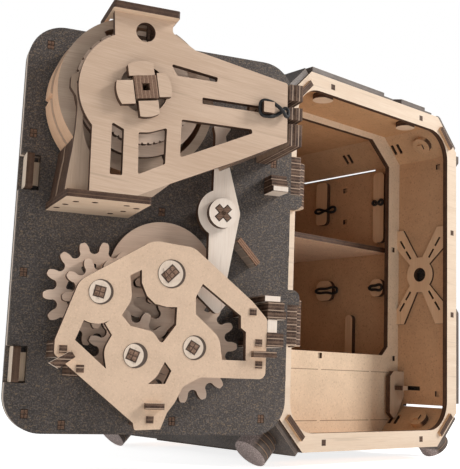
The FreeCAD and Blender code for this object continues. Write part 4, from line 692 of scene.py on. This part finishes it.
BODY_FINISH = {
    "front_frame": "frame", "back_panel": "back", "partition_panel": "partition", "left_wall": "wall",
    "right_wall": "wall", "ceiling_panel": "ceiling", "floor_panel": "ceiling", "corner_panels": "corner",
    "corner_caps": "corner", "ceiling_lugs": "flat_birch", "wall_brace": "side_birch",
    "stop_plate": "front_birch", "shelf": "shelf", "band_hooks": "side_birch", "elastic_bands": "rubber",
    "side_covers": "dark_side", "top_cover": "dark_flat", "bottom_cover": "dark_flat",
    "corner_covers": "dark_corner", "cover_rails": "wall", "front_feet": "feet", "rear_feet": "feet",
    "hinge_brackets": "stacked", "hinge_pins": "stacked",
}
DOOR_FINISH = {
    "door_outer_panel": "dark_door", "door_core": "core", "door_inner_panel": "dark_door",
    "hinge_leaves": "stacked", "door_blocks": "posts", "case_front_plate": "case", "case_walls": "case_wall",
    "case_top_bracket": "flat_birch", "case_bottom_bracket": "flat_birch", "case_blocks": "end_blocks",
    "gear_plate": "gear_plate", "gear_plate_posts": "posts", "lever_post": "light_birch",
    "rubber_band": "rubber",
}
MOVING_FINISH = {
    "dial": "case", "dial_shaft": "shaft_ends", "shaft_keys": "case", "drive_disc": "wheel",
    "front_code_wheel": "code_wheel", "rear_code_wheel": "code_wheel", "latch_slider": "case",
    "lever": "light_birch", "handle": "case", "drive_shaft": "drive_bush", "lock_disc": "wheel",
    "drive_gear": "wheel", "side_gear": "wheel", "small_side_gear": "wheel", "side_gear_shaft": "side_bush",
    "idler_gear": "wheel", "idler_shaft": "idler_bush", "bolt_gear": "wheel", "bolt_pinion": "wheel",
    "bolt_shaft": "bolt_bush", "bolt_bar": "core", "bolt_plates": "end_plates",
}

for table in (BODY_FINISH, DOOR_FINISH, MOVING_FINISH):
    for node, finish in table.items():
        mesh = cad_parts[node].data
        mesh.materials.clear()
        mesh.materials.append(finishes[finish])


# New pieces. A place on the door is (distance across, height, level), all in millimetres.


def door_place(s, z, h, turn=0.0):
    """A matrix on the open door: first axis to the right as one faces it, second up, third outwards."""
    axes = Matrix((-DOOR_ALONG, DOOR_UP, DOOR_OUT)).transposed().to_4x4()
    return Matrix.Translation(on_door(s, z, h)) @ axes @ Matrix.Rotation(math.radians(turn), 4, "Z")


def add_block(shape, place, size, bevel=0.12):
    """A block with eased edges. Its size is in millimetres along the axes of its place."""
    stretch = Matrix.Diagonal((*[length * MM for length in size], 1.0))
    made = bmesh.ops.create_cube(shape, size=1.0, matrix=place @ stretch)
    edges = list({edge for vert in made["verts"] for edge in vert.link_edges})
    bmesh.ops.bevel(shape, geom=edges, offset=bevel * MM, segments=2, profile=0.5, affect="EDGES",
                    clamp_overlap=True, material=-1)


def add_loop(shape, points, radius):
    """A closed band of round section that passes smoothly through its points."""
    curve = bpy.data.curves.new("band_path", "CURVE")
    curve.dimensions = "3D"
    curve.bevel_depth = radius * MM
    curve.bevel_resolution = 4
    curve.resolution_u = 10
    spline = curve.splines.new("BEZIER")
    spline.bezier_points.add(len(points) - 1)
    spline.use_cyclic_u = True
    for knot, point in zip(spline.bezier_points, points):
        knot.co = point
        knot.handle_left_type = "AUTO"
        knot.handle_right_type = "AUTO"
    holder = bpy.data.objects.new("band_path", curve)
    bpy.context.collection.objects.link(holder)
    bpy.context.view_layer.update()
    tube = bpy.data.meshes.new_from_object(holder.evaluated_get(bpy.context.evaluated_depsgraph_get()))
    shape.from_mesh(tube)
    bpy.data.meshes.remove(tube)
    bpy.data.objects.remove(holder)
    bpy.data.curves.remove(curve)


def new_piece(name, finish, build):
    """A piece that a build function fills, with its finish."""
    mesh = bpy.data.meshes.new(name)
    shape = bmesh.new()
    build(shape)
    bmesh.ops.recalc_face_normals(shape, faces=shape.faces)
    shape.to_mesh(mesh)
    shape.free()
    mesh.materials.append(finishes[finish])
    piece = bpy.data.objects.new(name, mesh)
    bpy.context.collection.objects.link(piece)
    return piece


LEVER_CAP = (48.6, 104.0, 16.6)


def crossed_bars(length, width, thick, proud):
    """Two bars that cross on the lever's cap and stand proud of it."""
    def build(shape):
        s, z, h = LEVER_CAP
        for turn in (45, -45):
            add_block(shape, door_place(s, z, h + proud - thick / 2, turn), (length, width, thick), 0.08)
    return build


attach(new_piece("lever_cap_outline", "burnt", crossed_bars(8.1, 3.0, 0.4, 0.08)), "door")
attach(new_piece("lever_cap_peg", "peg_ends", crossed_bars(7.3, 2.2, 0.5, 0.2)), "door")

PANEL_PEGS = [(123.4, 171.8), (128.0, 132.6), (71.0, 104.8), (128.0, 74.3), (123.8, 17.6), (108.8, 13.4),
              (62.2, 15.5), (21.3, 17.0), (18.8, 132.5)]
PEG_STRIP = (1.25, 1.6, 0.7)
PEG_APART = (0.72, 0.92)
PEG_LEVEL = -0.44


def panel_pegs(shape):
    """Peg ends in the door's inner sheet, each of four small strips."""
    for s, z in PANEL_PEGS:
        for i in (-1, 1):
            for j in (-1, 1):
                place = door_place(s + i * PEG_APART[0], z + j * PEG_APART[1], PEG_LEVEL)
                add_block(shape, place, PEG_STRIP)


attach(new_piece("panel_pegs", "peg_ends", panel_pegs), "door")

DIAL_AXIS = (91.2, 146.7)
DIAL_FACE = -13.0
DIAL_EDGE = 24.0
DIAL_MARKS = 100
LONG_MARK = 4.4
SHORT_MARK = 2.4
MARK_INSET = 0.8
MARK_SECTION = (0.4, 0.24)
MARK_SINK = 0.02


def dial_marks(shape):
    """Raised division marks round the outer dial, a longer one at every tenth."""
    for i in range(DIAL_MARKS):
        angle = 360.0 * i / DIAL_MARKS
        length = LONG_MARK if i % 10 == 0 else SHORT_MARK
        middle = DIAL_EDGE - MARK_INSET - length / 2
        s = DIAL_AXIS[0] + middle * math.cos(math.radians(angle))
        z = DIAL_AXIS[1] + middle * math.sin(math.radians(angle))
        add_block(shape, door_place(s, z, DIAL_FACE - MARK_SINK, -angle), (length, *MARK_SECTION), 0.05)


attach(new_piece("dial_marks", "burnt", dial_marks), "dial")

BAND_PATH = [
    (42.0, 145.9, 38.1), (41.2, 148.7, 38.1), (38.4, 149.1, 38.2), (35.3, 147.9, 38.6), (32.3, 145.5, 39.2),
    (29.9, 143.4, 38.5), (29.2, 144.6, 37.9), (29.9, 147.2, 37.5), (32.3, 145.3, 37.4), (35.3, 143.3, 37.6),
    (38.4, 142.6, 38.1), (41.2, 143.1, 38.1),
]
BAND_RADIUS = 0.78


def rubber_loop(shape):
    """The twisted band between the latch's peg and the blocks at the end of the case."""
    add_loop(shape, [on_door(*point) for point in BAND_PATH], BAND_RADIUS)


band = new_piece("twisted_rubber_band", "rubber", rubber_loop)
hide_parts("rubber_band")
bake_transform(band)

# Near end, far end, height and twist of each band on the side wall
WALL_BANDS = [(88.8, 106.8, 146.5, 0.9), (48.8, 56.8, 146.5, 0.6), (85.8, 104.8, 92.5, 0.0),
              (48.8, 58.8, 92.5, 0.0)]
WALL_BAND_RADIUS = 0.85


def wall_bands(shape):
    """Elastic loops from a hook to a peg on the side wall, the upper ones twisted once."""
    low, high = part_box("elastic_bands")
    level = ((low[0] + high[0]) / 2) / MM
    for near, far, z, twist in WALL_BANDS:
        middle = (near + far) / 2
        waist, end = (0.2, -1.1) if twist else (1.3, 0.9)
        outline = [(near, 0.0, 0.0), (near + 1.0, 1.5, 0.0), (middle, waist, twist),
                   (far - 1.0, end, 0.0), (far, 0.0, 0.0), (far - 1.0, -end, 0.0),
                   (middle, -waist, -twist), (near + 1.0, -1.5, 0.0)]
        add_loop(shape, [on_body(level + out, y, z + rise) for y, rise, out in outline], WALL_BAND_RADIUS)


elastic = new_piece("twisted_elastic_bands", "rubber", wall_bands)
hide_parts("elastic_bands")
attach(elastic, "safe_body")

# Place and size of each part
NECK_PARTS = [
    ((89.4, 170.4, 31.6), (1.1, 11.0, 2.4)),
    ((86.4, 170.6, 31.3), (4.2, 9.0, 1.8)),
    ((92.6, 166.9, 31.2), (4.6, 6.4, 1.6)),
]


def neck_parts(shape):
    """What shows through the round hole in the neck of the lock case: a bar on edge and two boards."""
    for place, size in NECK_PARTS:
        add_block(shape, door_place(*place), size)


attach(new_piece("neck_parts", "flat_birch", neck_parts), "door")

# Two sides, lower and upper edge, and top level of each block
PALE_BLOCKS = [
    (22.3, 29.5, 67.3, 69.7, 19.5), (23.3, 27.8, 54.1, 59.7, 19.0), (15.8, 23.0, 117.8, 120.0, 10.0),
]
CAP_THICK = 0.6
CAP_RISE = 0.2


def pale_faces(shape):
    """Light birch caps on those layers of the posts and blocks that show a face, not an edge."""
    for near, far, low, high, top in PALE_BLOCKS:
        place = door_place((near + far) / 2, (low + high) / 2, top + CAP_RISE)
        add_block(shape, place, (far - near, high - low, CAP_THICK))


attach(new_piece("pale_block_faces", "light_birch", pale_faces), "door")

SLANTED_BLOCK = (33.1, 89.6, 8.0)


def slanted_edge(shape):
    """The laid-up edge along the top of the slanted block."""
    s, z, top = SLANTED_BLOCK
    add_block(shape, door_place(s, z, top + CAP_RISE, SLANTED_TURN), (14.0, 2.6, CAP_THICK))


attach(new_piece("slanted_block_edge", "slanted_edge", slanted_edge), "door")


# Floor, light and camera

WHITE = (1.0, 1.0, 1.0, 1.0)
FLOOR_RADIUS = 6.0
FLOOR_TONES = ((0.93, 0.93, 0.93, 1), (0.95, 0.95, 0.95, 1))
FLOOR_LIFT = 0.80
FLOOR_GLOW = 0.24
SURROUND_LIGHT = 0.28
SURROUND_SEEN = 1.0
OBJECT_MIDDLE = (-0.03, -0.05, 0.1)
DOOR_MIDDLE = (-0.1, -0.05, 0.1)


def seen_or_lit(tree, lit, seen):
    """One value for the rays that the camera sees, and another for those that light the object."""
    from_camera = put(tree, "LightPath").outputs["Is Camera Ray"]
    return ramp(tree, from_camera, 0.0, 1.0, lit, seen)


def make_floor():
    """A pale round floor that the camera sees as nearly white."""
    mesh = bpy.data.meshes.new("floor")
    shape = bmesh.new()
    bmesh.ops.create_circle(shape, cap_ends=True, radius=FLOOR_RADIUS, segments=96)
    shape.to_mesh(mesh)
    shape.free()
    floor = bpy.data.objects.new("floor", mesh)
    bpy.context.collection.objects.link(floor)
    made, tree, shader = start_material("pale_floor", roughness=0.9, level=0.1)
    shader.inputs["Emission Color"].default_value = WHITE
    tree.links.new(seen_or_lit(tree, FLOOR_GLOW, FLOOR_LIFT), shader.inputs["Emission Strength"])
    cloud = noise(tree, object_place(tree), scale=3.0, detail=2.0)
    tree.links.new(blend_colour(tree, cloud, *FLOOR_TONES), shader.inputs["Base Color"])
    mesh.materials.append(made)


def soft_light(name, place, target, width, height, power, colour=(1.0, 1.0, 1.0)):
    """A rectangular lamp that faces its target."""
    data = bpy.data.lights.new(name, "AREA")
    data.shape = "RECTANGLE"
    data.size = width
    data.size_y = height
    data.energy = power
    data.color = colour
    lamp = bpy.data.objects.new(name, data)
    bpy.context.collection.objects.link(lamp)
    lamp.location = place
    lamp.rotation_euler = (Vector(target) - Vector(place)).to_track_quat("-Z", "Y").to_euler()


def white_surround():
    """White behind the object for the camera, and a softer white that lights it."""
    world = bpy.data.worlds.new("white_studio")
    world.use_nodes = True
    tree = world.node_tree
    background = tree.nodes["Background"]
    background.inputs["Color"].default_value = WHITE
    tree.links.new(seen_or_lit(tree, SURROUND_LIGHT, SURROUND_SEEN), background.inputs["Strength"])
    bpy.context.scene.world = world


PHOTO_WIDTH = 460
FOCAL_PIXELS = 889.5
SHIFT_PIXELS = (-17.1, 5.5)
SENSOR = 36.0
CAMERA_PLACE = Vector((-0.3671, -0.3792, 0.04356))
CAMERA_ANGLES = (41.91, 8.56, 1.99)


def aim_camera():
    """The camera that took the photo: its angles are azimuth, elevation and roll."""
    azimuth, elevation, roll = (math.radians(angle) for angle in CAMERA_ANGLES)
    forward = Vector((math.sin(azimuth) * math.cos(elevation), math.cos(azimuth) * math.cos(elevation),
                      math.sin(elevation)))
    level = Vector((math.cos(azimuth), -math.sin(azimuth), 0.0))
    upright = level.cross(forward)
    right = level * math.cos(roll) + upright * math.sin(roll)
    up = upright * math.cos(roll) - level * math.sin(roll)
    data = bpy.data.cameras.new("photo_camera")
    data.sensor_fit = "HORIZONTAL"
    data.sensor_width = SENSOR
    data.lens = FOCAL_PIXELS * SENSOR / PHOTO_WIDTH
    data.shift_x = SHIFT_PIXELS[0] / PHOTO_WIDTH
    data.shift_y = SHIFT_PIXELS[1] / PHOTO_WIDTH
    data.clip_start = 0.01
    camera = bpy.data.objects.new("photo_camera", data)
    bpy.context.collection.objects.link(camera)
    turn = Matrix((right, up, -forward)).transposed()
    camera.matrix_world = Matrix.Translation(CAMERA_PLACE) @ turn.to_4x4()
    bpy.context.scene.camera = camera


make_floor()
white_surround()
soft_light("key_from_front_right", (0.85, -1.15, 1.0), OBJECT_MIDDLE, width=0.5, height=0.5, power=23.0,
           colour=(1.0, 0.97, 0.94))
soft_light("side_from_left", (-1.3, -0.1, 0.5), DOOR_MIDDLE, width=0.7, height=1.0, power=3.0)
aim_camera()
bpy.context.scene.view_settings.view_transform = "Standard"
